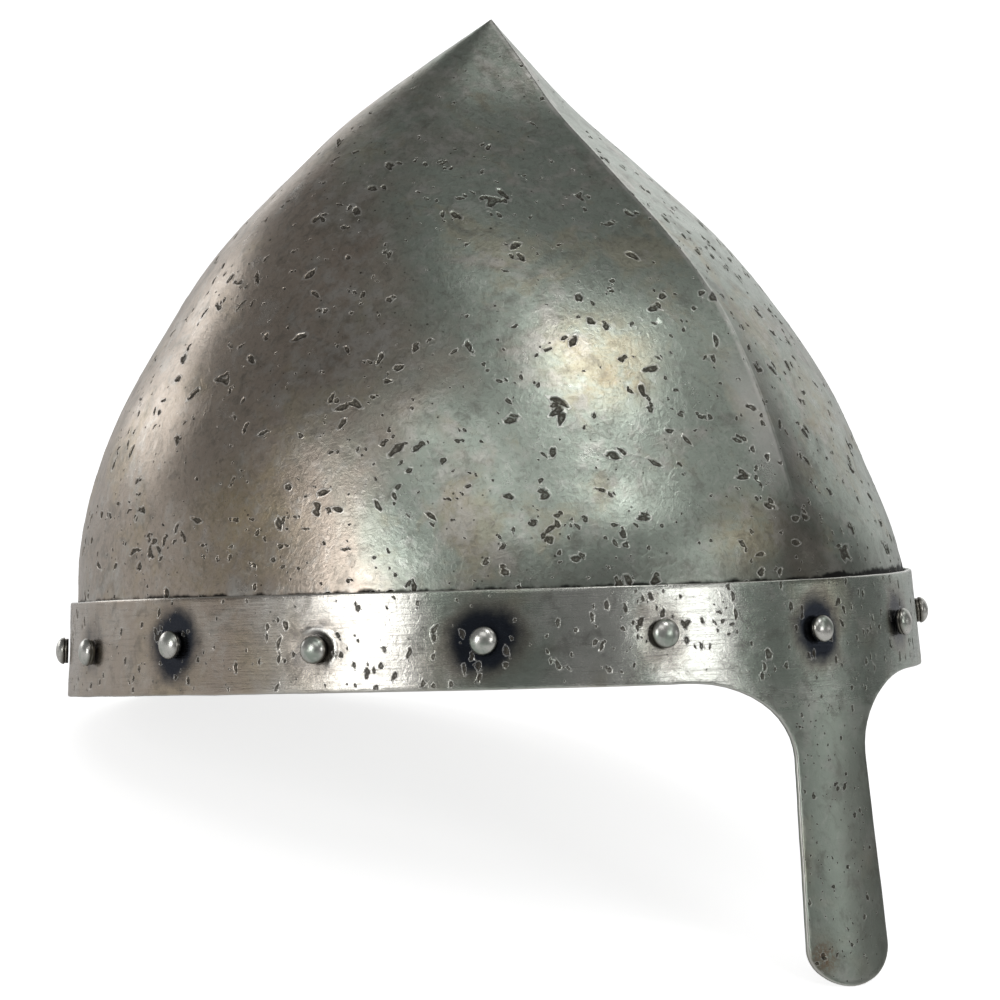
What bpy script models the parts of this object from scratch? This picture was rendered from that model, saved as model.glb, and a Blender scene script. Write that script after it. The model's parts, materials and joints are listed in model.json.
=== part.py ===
"""Ridged one-piece helmet with a riveted brow band that carries the nasal.

Metres, +Z up. The helmet is modelled upright, as it is worn: the wearer's
face looks along -Y, the wearer's right is -X, and height 0 is the band's
lower edge. At the end it leans back on an empty, because on a floor it rests
on the tip of its nasal and the back of its rim.
"""

import math
from collections import namedtuple

import bmesh
import bpy
import numpy as np
from mathutils import Matrix, Vector

# Brow band: its plan is measured at the lower edge, on the outer face
FRONT_REACH = 0.114
BACK_REACH = 0.120
SIDE_REACH = 0.106
PLAN_POWER = 1.94
BAND_HEIGHT = 0.0245
BAND_FLARE = 0.0017
BAND_WARP = 0.0009
BAND_SHEET = 0.0016

# Nasal: a tongue of the band's own sheet
NASAL_LENGTH = 0.0755
NASAL_NECK = 0.0270
NASAL_TIP = 0.0310
NASAL_ROUNDING = 0.0100
NASAL_ASIDE = 0.0016
FILLET_ALONG = 0.0290
FILLET_DROP = 0.0190

# Skull
SKULL_RISE = 0.146
SKULL_SHEET = 0.0016
SKULL_HEM = 0.0040
CROWN_AFT = 0.0056
RIDGE_PINCH = 0.0048
RIDGE_SPREAD = math.radians(28)
CREASE_POWER = 0.75
TIP_BLUNTING = 0.0006

# Rivets
RIVET_COUNT = 16
RIVET_LINE = 0.0120
SHANK_RADIUS = 0.0020
NECK_COLLAR = 0.0007
NECK_LENGTH = 0.0012
HEAD_BRIM = 0.0006
HEAD_DOME = 0.0017
PEEN_SPREAD = 0.0012
PEEN_THICKNESS = 0.0009

# Clearances between pieces that touch on the real helmet
FIT_GAP = 0.0003
PEEN_GAP = 0.0005
CUTTER_OVERRUN = 0.0032

# Bare steel: colour and roughness of each kind of piece
Finish = namedtuple("Finish", "color roughness")
SKULL_FINISH = Finish(color=(0.40, 0.39, 0.36), roughness=0.42)
BAND_FINISH = Finish(color=(0.47, 0.47, 0.45), roughness=0.33)
RIVET_FINISH = Finish(color=(0.55, 0.54, 0.50), roughness=0.25)

# How finely the solids are faceted
NASAL_COLUMNS = 10
BAND_COLUMNS = 62
FILLET_ROWS = 6
BLADE_ROWS = 2
TIP_ROWS = 5
SKULL_COLUMNS = 64
SKULL_ROWS = 18
RIVET_SIDES = 12
DOME_STEPS = 3
SETTLING_STEPS = 8
TANGENT_STEP = math.radians(0.2)
MERGE_DISTANCE = 0.00001

# Cross-sections of the skull above the band. rise is a share of SKULL_RISE,
# length and width are shares of the skull's size at the band, aft is how far
# the section's middle lies behind the wearer's axis as a share of CROWN_AFT,
# crease is how far the oval turns into a pointed one, and pinch is the
# ridge's height as a share of RIDGE_PINCH.
Section = namedtuple("Section", "rise length width aft crease pinch")
CROWN = (
    Section(rise=0.08, length=1.00, width=0.985, aft=0.8, crease=0.02, pinch=0.20),
    Section(rise=0.18, length=0.97, width=0.965, aft=1.0, crease=0.05, pinch=0.62),
    Section(rise=0.32, length=0.90, width=0.905, aft=1.0, crease=0.08, pinch=0.94),
    Section(rise=0.46, length=0.80, width=0.785, aft=1.0, crease=0.11, pinch=1.00),
    Section(rise=0.60, length=0.64, width=0.66, aft=1.0, crease=0.16, pinch=0.92),
    Section(rise=0.73, length=0.445, width=0.49, aft=0.9, crease=0.24, pinch=0.70),
    Section(rise=0.84, length=0.28, width=0.305, aft=0.7, crease=0.36, pinch=0.46),
    Section(rise=0.92, length=0.145, width=0.155, aft=-0.2, crease=0.48, pinch=0.20),
    Section(rise=1.00, length=0.0, width=0.0, aft=-1.3, crease=0.50, pinch=0.00),
)
LAST_RING = 0.93

# Hand-set rivets stray from even spacing: along is a share of the spacing,
# up a share of the band's height. Number 0 is at the brow, and the numbers
# grow towards the wearer's right.
Stray = namedtuple("Stray", "along up")
RIVET_STRAYS = {
    1: Stray(along=0.10, up=0.02),
    2: Stray(along=0.11, up=0.00),
    3: Stray(along=0.06, up=-0.05),
    4: Stray(along=0.09, up=0.03),
    5: Stray(along=0.06, up=-0.02),
    6: Stray(along=-0.08, up=0.00),
    14: Stray(along=0.02, up=0.06),
}

# Worked out from the sizes above
PLAN_HALF_LENGTH = (FRONT_REACH + BACK_REACH) / 2
PLAN_AFT = (BACK_REACH - FRONT_REACH) / 2
SKULL_INSET = BAND_SHEET + FIT_GAP
RIVET_TURN = 2 * math.pi / RIVET_COUNT
NECK_RADIUS = SHANK_RADIUS + NECK_COLLAR
HEAD_RADIUS = NECK_RADIUS + HEAD_BRIM
PEEN_RADIUS = SHANK_RADIUS + PEEN_SPREAD


def clear_scene():
    for item in list(bpy.data.objects):
        bpy.data.objects.remove(item, do_unlink=True)


def new_collection(name):
    made = bpy.data.collections.new(name)
    bpy.context.scene.collection.children.link(made)
    return made


def metal(name, finish):
    material = bpy.data.materials.new(name)
    material.use_nodes = True
    shader = material.node_tree.nodes["Principled BSDF"]
    shader.inputs["Base Color"].default_value = (*finish.color, 1.0)
    shader.inputs["Metallic"].default_value = 1.0
    shader.inputs["Roughness"].default_value = finish.roughness
    return material


def add_object(name, mesh, collection, material=None):
    item = bpy.data.objects.new(name, mesh)
    collection.objects.link(item)
    if material and not mesh.materials:
        mesh.materials.append(material)
    return item


def oval(turn, half_length, half_width, aft):
    """Plan point. turn is 0 at the brow and grows towards the wearer's right."""
    side, ahead = math.sin(turn), math.cos(turn)
    across = half_width * math.copysign(abs(side) ** (2 / PLAN_POWER), side)
    along = half_length * math.copysign(abs(ahead) ** (2 / PLAN_POWER), ahead)
    return -across, aft - along


def warp(turn):
    """The rim dips at front and back and rises at the sides."""
    return -BAND_WARP * math.cos(2 * turn)


def band_point(turn, height, inward=0.0):
    """Point of the band's outer face, or inward of it. The flare carries on below the rim."""
    inset = inward + BAND_FLARE * height / BAND_HEIGHT
    x, y = oval(turn, PLAN_HALF_LENGTH - inset, SIDE_REACH - inset, PLAN_AFT)
    return Vector((x, y, height + warp(turn)))


def smooth_curve(knots, values, at):
    """Cubic through the values, with its slopes taken across each knot's neighbours."""
    slopes = np.gradient(values, knots)
    right = min(max(int(np.searchsorted(knots, at)), 1), len(knots) - 1)
    left = right - 1
    span = knots[right] - knots[left]
    s = (at - knots[left]) / span
    return (
        (1 + 2 * s) * (1 - s) ** 2 * values[left]
        + s * (1 - s) ** 2 * span * slopes[left]
        + s**2 * (3 - 2 * s) * values[right]
        + s**2 * (s - 1) * span * slopes[right]
    )


def crown_section(rise):
    """The skull's section at a share of its rise, in metres."""
    inset = SKULL_INSET + BAND_FLARE
    foot = Section(0.0, 1.0, 1.0, PLAN_AFT / CROWN_AFT, 0.0, 0.0)
    table = np.array((foot, *CROWN))
    read = Section(rise, *(smooth_curve(table[:, 0], column, rise) for column in table.T[1:]))
    return Section(
        rise=rise * SKULL_RISE,
        length=read.length * (PLAN_HALF_LENGTH - inset),
        width=read.width * (SIDE_REACH - inset),
        aft=read.aft * CROWN_AFT,
        crease=read.crease,
        pinch=read.pinch * RIDGE_PINCH,
    )


def crown_point(turn, rise):
    """Point of the skull's outer face above the band, with the ridge over brow and nape."""
    section = crown_section(rise)
    x, along = oval(turn, section.length - section.pinch, section.width, 0.0)
    from_ridge = math.asin(min(1.0, abs(math.sin(turn))))
    pointed = (1 - abs(math.sin(turn))) ** CREASE_POWER
    ahead = math.copysign(1.0, along)
    reach = (1 - section.crease) * abs(along)
    reach += section.crease * pointed * (section.length - section.pinch)
    reach += section.pinch * max(0.0, 1 - from_ridge / RIDGE_SPREAD) ** 2
    height = BAND_HEIGHT + section.rise + (1 - rise) * warp(turn)
    return Vector((x, section.aft + ahead * reach, height))


def turns_of(count):
    return [2 * math.pi * i / count for i in range(count)]


def join_rings(mesh, lower, upper):
    """Quads between two closed rings of vertices, facing outwards."""
    for i, start in enumerate(lower):
        after = (i + 1) % len(lower)
        mesh.faces.new((start, upper[i], upper[after], lower[after]))


def skull_sheet():
    """Outer face of the skull, from its hidden hem up to the tip."""
    turns = turns_of(SKULL_COLUMNS)
    surface = bmesh.new()
    rings = [
        [surface.verts.new(band_point(turn, SKULL_HEM, SKULL_INSET)) for turn in turns],
    ]
    for rise in np.linspace(0.0, LAST_RING, SKULL_ROWS):
        rings.append([surface.verts.new(crown_point(turn, rise)) for turn in turns])
    for lower, upper in zip(rings, rings[1:]):
        join_rings(surface, lower, upper)
    tip = surface.verts.new(crown_point(0.0, 1.0) - Vector((0, 0, TIP_BLUNTING)))
    for i, start in enumerate(rings[-1]):
        surface.faces.new((start, tip, rings[-1][(i + 1) % len(turns)]))
    return finished_mesh("skull", surface)


def nasal_half_width(depth):
    """Half the nasal's width at a depth below the band's lower edge."""
    neck, tip = NASAL_NECK / 2, NASAL_TIP / 2
    if depth < FILLET_DROP:
        above = 1 - depth / FILLET_DROP
        return neck + FILLET_ALONG * (1 - math.sqrt(1 - above**2))
    blade = NASAL_LENGTH - FILLET_DROP
    width = neck + (tip - neck) * (depth - FILLET_DROP) / blade
    into_round = max(0.0, depth - (NASAL_LENGTH - NASAL_ROUNDING)) / NASAL_ROUNDING
    return width * math.sqrt(1 - into_round**2)


def nasal_depths():
    """Depths of the nasal's rows: close together in the fillet and round the tip."""
    quarter = math.pi / 2
    fillet = [FILLET_DROP * (1 - math.cos(quarter * i / FILLET_ROWS)) for i in range(1, FILLET_ROWS)]
    blade = list(np.linspace(FILLET_DROP, NASAL_LENGTH - NASAL_ROUNDING, BLADE_ROWS + 1))
    angles = np.linspace(0.0, quarter, TIP_ROWS + 1, endpoint=False)[1:]
    tip = [NASAL_LENGTH - NASAL_ROUNDING * (1 - math.sin(angle)) for angle in angles]
    return fillet + blade + tip


def nasal_turns(depth):
    """Turns of one row's columns, from the wearer's left edge to the right.

    The nasal is set a little towards the wearer's left.
    """
    middle = -math.asin(NASAL_ASIDE / SIDE_REACH)
    edge = math.asin(nasal_half_width(depth) / SIDE_REACH)
    return list(np.linspace(middle - edge, middle + edge, NASAL_COLUMNS + 1))


def band_sheet():
    """Outer face of the band and of the nasal that hangs from it."""
    across_nasal = nasal_turns(0.0)
    round_head = np.linspace(across_nasal[-1], 2 * math.pi + across_nasal[0], BAND_COLUMNS + 1)
    turns = across_nasal + list(round_head[1:-1])
    surface = bmesh.new()
    lower = [surface.verts.new(band_point(turn, 0.0)) for turn in turns]
    upper = [surface.verts.new(band_point(turn, BAND_HEIGHT)) for turn in turns]
    join_rings(surface, lower, upper)
    above = lower[: len(across_nasal)]
    for depth in nasal_depths():
        row = [surface.verts.new(band_point(turn, -depth)) for turn in nasal_turns(depth)]
        for i in range(NASAL_COLUMNS):
            surface.faces.new((row[i], above[i], above[i + 1], row[i + 1]))
        above = row
    return finished_mesh("brow_band", surface)


def finished_mesh(name, surface):
    mesh = bpy.data.meshes.new(name)
    surface.to_mesh(mesh)
    surface.free()
    mesh.shade_smooth()
    return mesh


def rivet_frame(number):
    """Matrix that puts a rivet's origin on the band's outer face with +Z pointing out."""
    stray = RIVET_STRAYS.get(number, Stray(0.0, 0.0))
    turn = RIVET_TURN * (number + stray.along)
    height = RIVET_LINE + stray.up * BAND_HEIGHT
    place = band_point(turn, height)
    along = band_point(turn + TANGENT_STEP, height) - band_point(turn - TANGENT_STEP, height)
    upward = band_point(turn, BAND_HEIGHT) - band_point(turn, 0.0)
    out = upward.cross(along).normalized()
    side = along.normalized()
    axes = Matrix((side, out.cross(side), out)).transposed()
    return Matrix.Translation(place) @ axes.to_4x4()


def rivet_profile():
    """Half outline of a rivet from the top of its head down to its peened end."""
    neck_top = FIT_GAP + NECK_LENGTH
    inner_face = -(BAND_SHEET + FIT_GAP + SKULL_SHEET) - PEEN_GAP
    dome = []
    for i in range(DOME_STEPS + 1):
        angle = math.pi / 2 * i / DOME_STEPS
        dome.append((HEAD_RADIUS * math.sin(angle), neck_top + HEAD_DOME * math.cos(angle)))
    return dome + [
        (NECK_RADIUS, neck_top),
        (NECK_RADIUS, FIT_GAP),
        (SHANK_RADIUS, FIT_GAP),
        (SHANK_RADIUS, inner_face),
        (PEEN_RADIUS, inner_face),
        (PEEN_RADIUS, inner_face - PEEN_THICKNESS / 2),
        (SHANK_RADIUS, inner_face - PEEN_THICKNESS),
        (0.0, inner_face - PEEN_THICKNESS),
    ]


def rivet_mesh():
    profile = bmesh.new()
    points = [profile.verts.new((radius, 0.0, z)) for radius, z in rivet_profile()]
    for above, below in zip(points, points[1:]):
        profile.edges.new((above, below))
    mesh = bpy.data.meshes.new("rivet")
    profile.to_mesh(mesh)
    profile.free()
    return mesh


def turn_on_axis(item):
    """Turns the object's profile round its own Z axis."""
    screw = item.modifiers.new("turned", "SCREW")
    screw.steps = RIVET_SIDES
    screw.render_steps = RIVET_SIDES
    screw.use_merge_vertices = True
    screw.merge_threshold = MERGE_DISTANCE


def thicken(item, sheet):
    wall = item.modifiers.new("sheet", "SOLIDIFY")
    wall.thickness = sheet
    wall.offset = -1.0
    wall.use_even_offset = True


def pierce(item, cutters):
    holes = item.modifiers.new("rivet_holes", "BOOLEAN")
    holes.operation = "DIFFERENCE"
    holes.operand_type = "COLLECTION"
    holes.collection = cutters
    holes.solver = "EXACT"


def hole_cutter(collection, number):
    """A pin through band and skull where one rivet goes."""
    bpy.ops.mesh.primitive_cylinder_add(
        vertices=RIVET_SIDES,
        radius=SHANK_RADIUS + FIT_GAP,
        depth=2 * (BAND_SHEET + FIT_GAP + SKULL_SHEET + CUTTER_OVERRUN),
    )
    cutter = bpy.context.object
    cutter.name = f"hole_cutter_{number + 1:02d}"
    cutter.matrix_world = rivet_frame(number)
    cutter.display_type = "WIRE"
    cutter.hide_render = True
    for home in list(cutter.users_collection):
        home.objects.unlink(cutter)
    collection.objects.link(cutter)
    return cutter


def corners_of(items):
    """Every vertex of the finished pieces, as rows of x, y, z."""
    bpy.context.view_layer.update()
    graph = bpy.context.evaluated_depsgraph_get()
    found = []
    for item in items:
        shown = item.evaluated_get(graph)
        mesh = shown.to_mesh()
        found += [shown.matrix_world @ vertex.co for vertex in mesh.vertices]
        shown.to_mesh_clear()
    return np.array(found)


def lean_back(points, angle):
    """The points turned about X so that the face looks up by the angle."""
    sine, cosine = math.sin(angle), math.cos(angle)
    x, y, z = points.T
    return np.stack((x, cosine * y + sine * z, cosine * z - sine * y), axis=1)


def resting_angle(points):
    """How far the helmet leans back when its nasal and its nape both touch the floor."""
    angle = 0.0
    front, back = points[points[:, 1] < 0], points[points[:, 1] > 0]
    for _ in range(SETTLING_STEPS):
        toe, heel = (lean_back(half, angle) for half in (front, back))
        toe, heel = toe[toe[:, 2].argmin()], heel[heel[:, 2].argmin()]
        angle += math.atan2(heel[2] - toe[2], heel[1] - toe[1])
    return angle


def set_down(items):
    """An empty that lays the pieces on the floor, with their length centred over the origin."""
    points = corners_of(items)
    angle = resting_angle(points)
    settled = lean_back(points, angle)
    low, high = settled.min(axis=0), settled.max(axis=0)
    pose = bpy.data.objects.new("resting_pose", None)
    items[0].users_collection[0].objects.link(pose)
    pose.rotation_euler = (-angle, 0.0, 0.0)
    pose.location = (0.0, -(low[1] + high[1]) / 2, -low[2])
    return pose


def build():
    clear_scene()
    helmet = new_collection("nasal_helmet")
    cutters = new_collection("rivet_hole_cutters")
    numbers = range(RIVET_COUNT)
    cut = [hole_cutter(cutters, number) for number in numbers]

    skull = add_object("skull", skull_sheet(), helmet, metal("skull_steel", SKULL_FINISH))
    thicken(skull, SKULL_SHEET)
    pierce(skull, cutters)

    band = add_object("brow_band", band_sheet(), helmet, metal("band_steel", BAND_FINISH))
    thicken(band, BAND_SHEET)
    pierce(band, cutters)

    head = rivet_mesh()
    steel = metal("rivet_steel", RIVET_FINISH)
    rivets = []
    for number in numbers:
        rivet = add_object(f"rivet_{number + 1:02d}", head, helmet, steel)
        rivet.matrix_world = rivet_frame(number)
        turn_on_axis(rivet)
        rivets.append(rivet)

    pieces = [skull, band, *rivets]
    pose = set_down(pieces)
    for item in pieces + cut:
        item.parent = pose


build()
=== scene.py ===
"""Looks of the ridged helmet: pitted steel skull and brow band, rivets, floor, light, camera.

Metres, +Z up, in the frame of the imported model. The sheets are shaped on the
upright helmet, with the face along -Y and the wearer's right at -X, and are
then laid back as the helmet rests.
"""

import json
import math
from collections import namedtuple

import bmesh
import bpy
import numpy as np
from mathutils import Euler, Matrix, Vector, kdtree, noise
from mathutils.geometry import delaunay_2d_cdt

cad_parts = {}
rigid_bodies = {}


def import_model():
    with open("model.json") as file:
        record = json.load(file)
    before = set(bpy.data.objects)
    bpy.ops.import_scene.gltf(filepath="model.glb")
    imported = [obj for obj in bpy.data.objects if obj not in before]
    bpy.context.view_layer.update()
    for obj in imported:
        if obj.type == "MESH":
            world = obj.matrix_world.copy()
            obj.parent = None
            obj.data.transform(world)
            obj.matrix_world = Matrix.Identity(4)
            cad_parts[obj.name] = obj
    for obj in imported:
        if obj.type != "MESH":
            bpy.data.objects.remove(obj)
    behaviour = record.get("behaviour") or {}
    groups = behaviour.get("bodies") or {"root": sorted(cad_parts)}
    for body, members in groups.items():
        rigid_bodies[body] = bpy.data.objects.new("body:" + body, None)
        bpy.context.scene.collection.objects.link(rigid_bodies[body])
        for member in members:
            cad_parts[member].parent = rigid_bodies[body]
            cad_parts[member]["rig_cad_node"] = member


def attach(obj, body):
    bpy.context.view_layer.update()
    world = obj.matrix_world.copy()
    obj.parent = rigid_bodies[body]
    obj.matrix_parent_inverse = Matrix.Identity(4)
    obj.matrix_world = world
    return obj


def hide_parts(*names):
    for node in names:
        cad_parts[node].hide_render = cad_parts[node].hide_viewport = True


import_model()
for item in list(bpy.data.objects):
    if "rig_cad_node" not in item and not item.name.startswith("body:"):
        bpy.data.objects.remove(item, do_unlink=True)
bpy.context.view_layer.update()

# ---------------------------------------------------------------- sizes

# How the upright helmet is laid back on the floor
LEAN = 0.306872
LIFT = (0.0, 0.0056055, 0.0371028)

# Brow band and nasal
FRONT_REACH = 0.114
BACK_REACH = 0.120
SIDE_REACH = 0.106
PLAN_POWER = 1.94
BAND_HEIGHT = 0.0245
BAND_FLARE = 0.0017
BAND_WARP = 0.0009
BAND_SHEET = 0.0016
NASAL_LENGTH = 0.0755
NASAL_NECK = 0.0270
NASAL_TIP = 0.0310
NASAL_ROUNDING = 0.0100
NASAL_ASIDE = 0.0016
FILLET_ALONG = 0.0290
FILLET_DROP = 0.0190
EDGE_ROUND = 0.0004

# Skull
SKULL_RISE = 0.146
SKULL_SHEET = 0.0016
SKULL_HEM = 0.0040
CROWN_AFT = 0.0056
RIDGE_PINCH = 0.0048
RIDGE_SPREAD = math.radians(28)
RIDGE_ROUND = 0.0032
CREASE_POWER = 0.75
FIT_GAP = 0.0003

# Rivets
RIVET_COUNT = 16
RIVET_LINE = 0.0120

# Sections of the skull: shares of its rise, length and width, as in the part's source
CROWN = np.array(
    # rise length width aft crease pinch
    [
        (0.00, 1.00, 1.00, 0.54, 0.00, 0.00),
        (0.08, 1.00, 0.985, 0.8, 0.02, 0.20),
        (0.18, 0.97, 0.965, 1.0, 0.05, 0.62),
        (0.32, 0.90, 0.905, 1.0, 0.08, 0.94),
        (0.46, 0.80, 0.785, 1.0, 0.11, 1.00),
        (0.60, 0.64, 0.66, 1.0, 0.16, 0.92),
        (0.73, 0.445, 0.49, 0.9, 0.24, 0.70),
        (0.84, 0.28, 0.305, 0.7, 0.36, 0.46),
        (0.92, 0.145, 0.155, -0.2, 0.48, 0.20),
        (1.00, 0.0, 0.0, -1.3, 0.50, 0.00),
    ]
)

# Rivets listed one by one, numbered from the brow towards the wearer's right: how far each strays
# along as a share of the spacing and up as a share of the band, and how dark its heat bloom is
RIVETS = {
    0: (0.00, 0.00, 1.00),
    1: (0.10, 0.02, 0.45),
    2: (0.11, 0.00, 1.00),
    3: (0.06, -0.05, 0.60),
    4: (0.09, 0.03, 1.00),
    5: (0.06, -0.02, 0.50),
    6: (-0.08, 0.00, 0.70),
    9: (0.03, 0.01, 0.40),
    11: (-0.04, 0.00, 1.00),
    14: (0.02, 0.06, 0.60),
}
PLAIN_RIVET = (0.0, 0.0, 0.80)

PLAN_HALF_LENGTH = (FRONT_REACH + BACK_REACH) / 2
PLAN_AFT = (BACK_REACH - FRONT_REACH) / 2
SKULL_INSET = BAND_SHEET + FIT_GAP
HEM_CLIMB = (SKULL_HEM - BAND_HEIGHT) / SKULL_RISE

# How the sheets are meshed: places closer together than the gap are thinned out, rows of
# triangles stand this share of their grain apart, and places this near a line lie on it
MESH_GAP = 0.00014
ROW_PITCH = 0.87
ON_LINE = 1e-9
WELD_DISTANCE = 0.000004

# ---------------------------------------------------------------- surfaces


def oval(turn, half_length, half_width, aft):
    """Plan points. turn is 0 at the brow and grows towards the wearer's right."""
    side, ahead = np.sin(turn), np.cos(turn)
    across = half_width * np.sign(side) * np.abs(side) ** (2 / PLAN_POWER)
    along = half_length * np.sign(ahead) * np.abs(ahead) ** (2 / PLAN_POWER)
    return -across, aft - along


def warp(turn):
    """How far the band's edges rise and fall round the helmet."""
    return -BAND_WARP * np.cos(2 * turn)


def band_surface(turn, height, inward=0.0):
    """Points of the band's outer face, or inward of it; below height 0 it is the nasal."""
    inset = inward + BAND_FLARE * height / BAND_HEIGHT
    x, y = oval(turn, PLAN_HALF_LENGTH - inset, SIDE_REACH - inset, PLAN_AFT)
    return np.stack((x, y, height + warp(turn)), axis=-1)


def smooth_column(column, at):
    """Cubic through one column of the sections, slopes taken across each knot's neighbours."""
    knots, values = CROWN[:, 0], CROWN[:, column]
    slopes = np.gradient(values, knots)
    right = np.clip(np.searchsorted(knots, at), 1, len(knots) - 1)
    left = right - 1
    span = knots[right] - knots[left]
    s = (at - knots[left]) / span
    return (
        (1 + 2 * s) * (1 - s) ** 2 * values[left]
        + s * (1 - s) ** 2 * span * slopes[left]
        + s**2 * (3 - 2 * s) * values[right]
        + s**2 * (s - 1) * span * slopes[right]
    )


def crown_surface(turn, rise):
    """Points of the skull above the band, with its ridge worn a little round."""
    inset = SKULL_INSET + BAND_FLARE
    length = smooth_column(1, rise) * (PLAN_HALF_LENGTH - inset)
    width = smooth_column(2, rise) * (SIDE_REACH - inset)
    aft = smooth_column(3, rise) * CROWN_AFT
    crease = smooth_column(4, rise)
    pinch = smooth_column(5, rise) * RIDGE_PINCH
    x, along = oval(turn, length - pinch, width, 0.0)
    across = np.minimum(1.0, np.hypot(np.sin(turn), RIDGE_ROUND) - RIDGE_ROUND)
    reach = (1 - crease) * np.abs(along)
    reach += crease * (1 - across) ** CREASE_POWER * (length - pinch)
    reach += pinch * np.maximum(0.0, 1 - np.arcsin(across) / RIDGE_SPREAD) ** 2
    height = BAND_HEIGHT + rise * SKULL_RISE + (1 - rise) * warp(turn)
    return np.stack((x, aft + np.sign(along) * reach, height), axis=-1)


def skull_surface(turn, climb):
    """Points of the skull. climb is the share of its rise, below 0 behind the band."""
    behind = band_surface(turn, BAND_HEIGHT + np.minimum(climb, 0.0) * SKULL_RISE, SKULL_INSET)
    above = crown_surface(turn, np.maximum(climb, 0.0))
    return np.where((climb < 0)[:, None], behind, above)


def outward(surface, turn, level, step):
    """Unit normals of a surface that is a function of turn and level."""
    along = surface(turn + step, level) - surface(turn - step, level)
    up = surface(turn, level + step) - surface(turn, level - step)
    normal = np.cross(up, along)
    return normal / np.linalg.norm(normal, axis=1)[:, None]


# ---------------------------------------------------------------- charts


class SkullChart:
    """Flat disc that the skull is meshed on: hem on the unit circle, tip at the middle.

    Its scale differs from place to place, but small shapes keep their form.
    """

    STEPS = 600
    TOP = 0.998
    PROBE = 0.001

    def __init__(self):
        self.climbs = np.linspace(HEM_CLIMB, self.TOP, self.STEPS)
        turns = np.linspace(-math.pi, math.pi, 97)
        rings = np.stack([skull_surface(turns, np.full(turns.shape, c)) for c in self.climbs])
        self.girths = np.linalg.norm(np.diff(rings, axis=1), axis=2).sum(axis=1)
        slant = np.linalg.norm(np.diff(rings, axis=0), axis=2).mean(axis=1)
        self.slants = np.concatenate(([0.0], np.cumsum(slant)))
        rate = 2 * math.pi / self.girths
        shrink = (rate[1:] + rate[:-1]) / 2 * slant
        self.logs = -np.concatenate(([0.0], np.cumsum(shrink)))

    def plane(self, turn, climb):
        radius = np.exp(np.interp(climb, self.climbs, self.logs))
        return np.stack((radius * np.cos(turn), radius * np.sin(turn)), axis=-1)

    def levels(self, plane):
        """turn and climb of places on the disc."""
        radius = np.maximum(np.hypot(*plane.T), 1e-9)
        climb = np.interp(-np.log(radius), -self.logs, self.climbs)
        return np.arctan2(plane[:, 1], plane[:, 0]), climb

    def metres(self, climb):
        """Metres on the skull for one unit on the disc."""
        radius = np.exp(np.interp(climb, self.climbs, self.logs))
        return np.interp(climb, self.climbs, self.girths) / (2 * math.pi * radius)

    def points(self, plane, depth):
        turn, climb = self.levels(plane)
        climb = np.minimum(climb, self.TOP - self.PROBE)
        normal = outward(skull_surface, turn, climb, self.PROBE)
        return skull_surface(turn, climb) - normal * depth[:, None]

    def random_places(self, rng, count):
        """Turns and climbs spread evenly over the skull's area."""
        area = np.cumsum(self.girths * np.gradient(self.slants))
        climb = np.interp(rng.random(count) * area[-1], area, self.climbs)
        return rng.uniform(-math.pi, math.pi, count), climb


class BandChart:
    """Flat strip that band and nasal are meshed on, in metres along and up."""

    RADIUS = 0.1098

    def plane(self, turn, height):
        return np.stack((turn * self.RADIUS, np.broadcast_to(height, np.shape(turn))), axis=-1)

    def levels(self, plane):
        return plane[:, 0] / self.RADIUS, plane[:, 1]

    def metres(self, height):
        return np.ones(np.shape(height))

    def points(self, plane, depth):
        turn, height = self.levels(plane)
        return band_surface(turn, height, depth)


# ---------------------------------------------------------------- pits

Pits = namedtuple("Pits", "turn level size stretch heading depth")

# Floor, wall, lip and the lip's foot of each pit, and how far it marks the sheet, as shares of
# its outline
PIT_FLOOR, PIT_WALL, PIT_LIP, PIT_FOOT = 0.66, 0.98, 1.05, 1.32
PIT_REACH = 1.5

# Least width of the lip's outer slope, the lip's height as a share of the pit's depth, and
# about how long the sides are that a pit is meshed with
PIT_MARGIN = 0.0002
LIP_SHARE = 0.18
PIT_SIDE = 0.00022
FEWEST_SIDES, MOST_SIDES = 6, 13

# The outline's lobes: how many, how strong, and how they turn from pit to pit
LOBES = ((2, 0.18, 1.0), (3, 0.13, 2.3), (5, 0.07, 4.1))


def pit_shapes(rng, count, sizes, stretches, depth_share):
    """Half widths, stretch, and depth for a number of pits."""
    size = rng.uniform(sizes[0], sizes[1], count)
    stretch = rng.uniform(stretches[0], stretches[1], count)
    return size, stretch, size * depth_share * rng.uniform(0.7, 1.2, count)


def wobble(angle, seed):
    """Outline of a corroded pit as a share of its size."""
    return sum((amount * np.sin(lobes * angle + turn * seed) for lobes, amount, turn in LOBES), 1)


def pit_frames(chart, pits):
    """Middle of each pit on the chart, and the matrix from pit shares to the chart."""
    middle = chart.plane(pits.turn, pits.level)
    c, s = np.cos(pits.heading), np.sin(pits.heading)
    unit = pits.size / chart.metres(pits.level)
    frames = np.empty((len(middle), 2, 2))
    frames[:, 0, 0], frames[:, 0, 1] = c * unit * pits.stretch, -s * unit
    frames[:, 1, 0], frames[:, 1, 1] = s * unit * pits.stretch, c * unit
    return middle, frames


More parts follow.
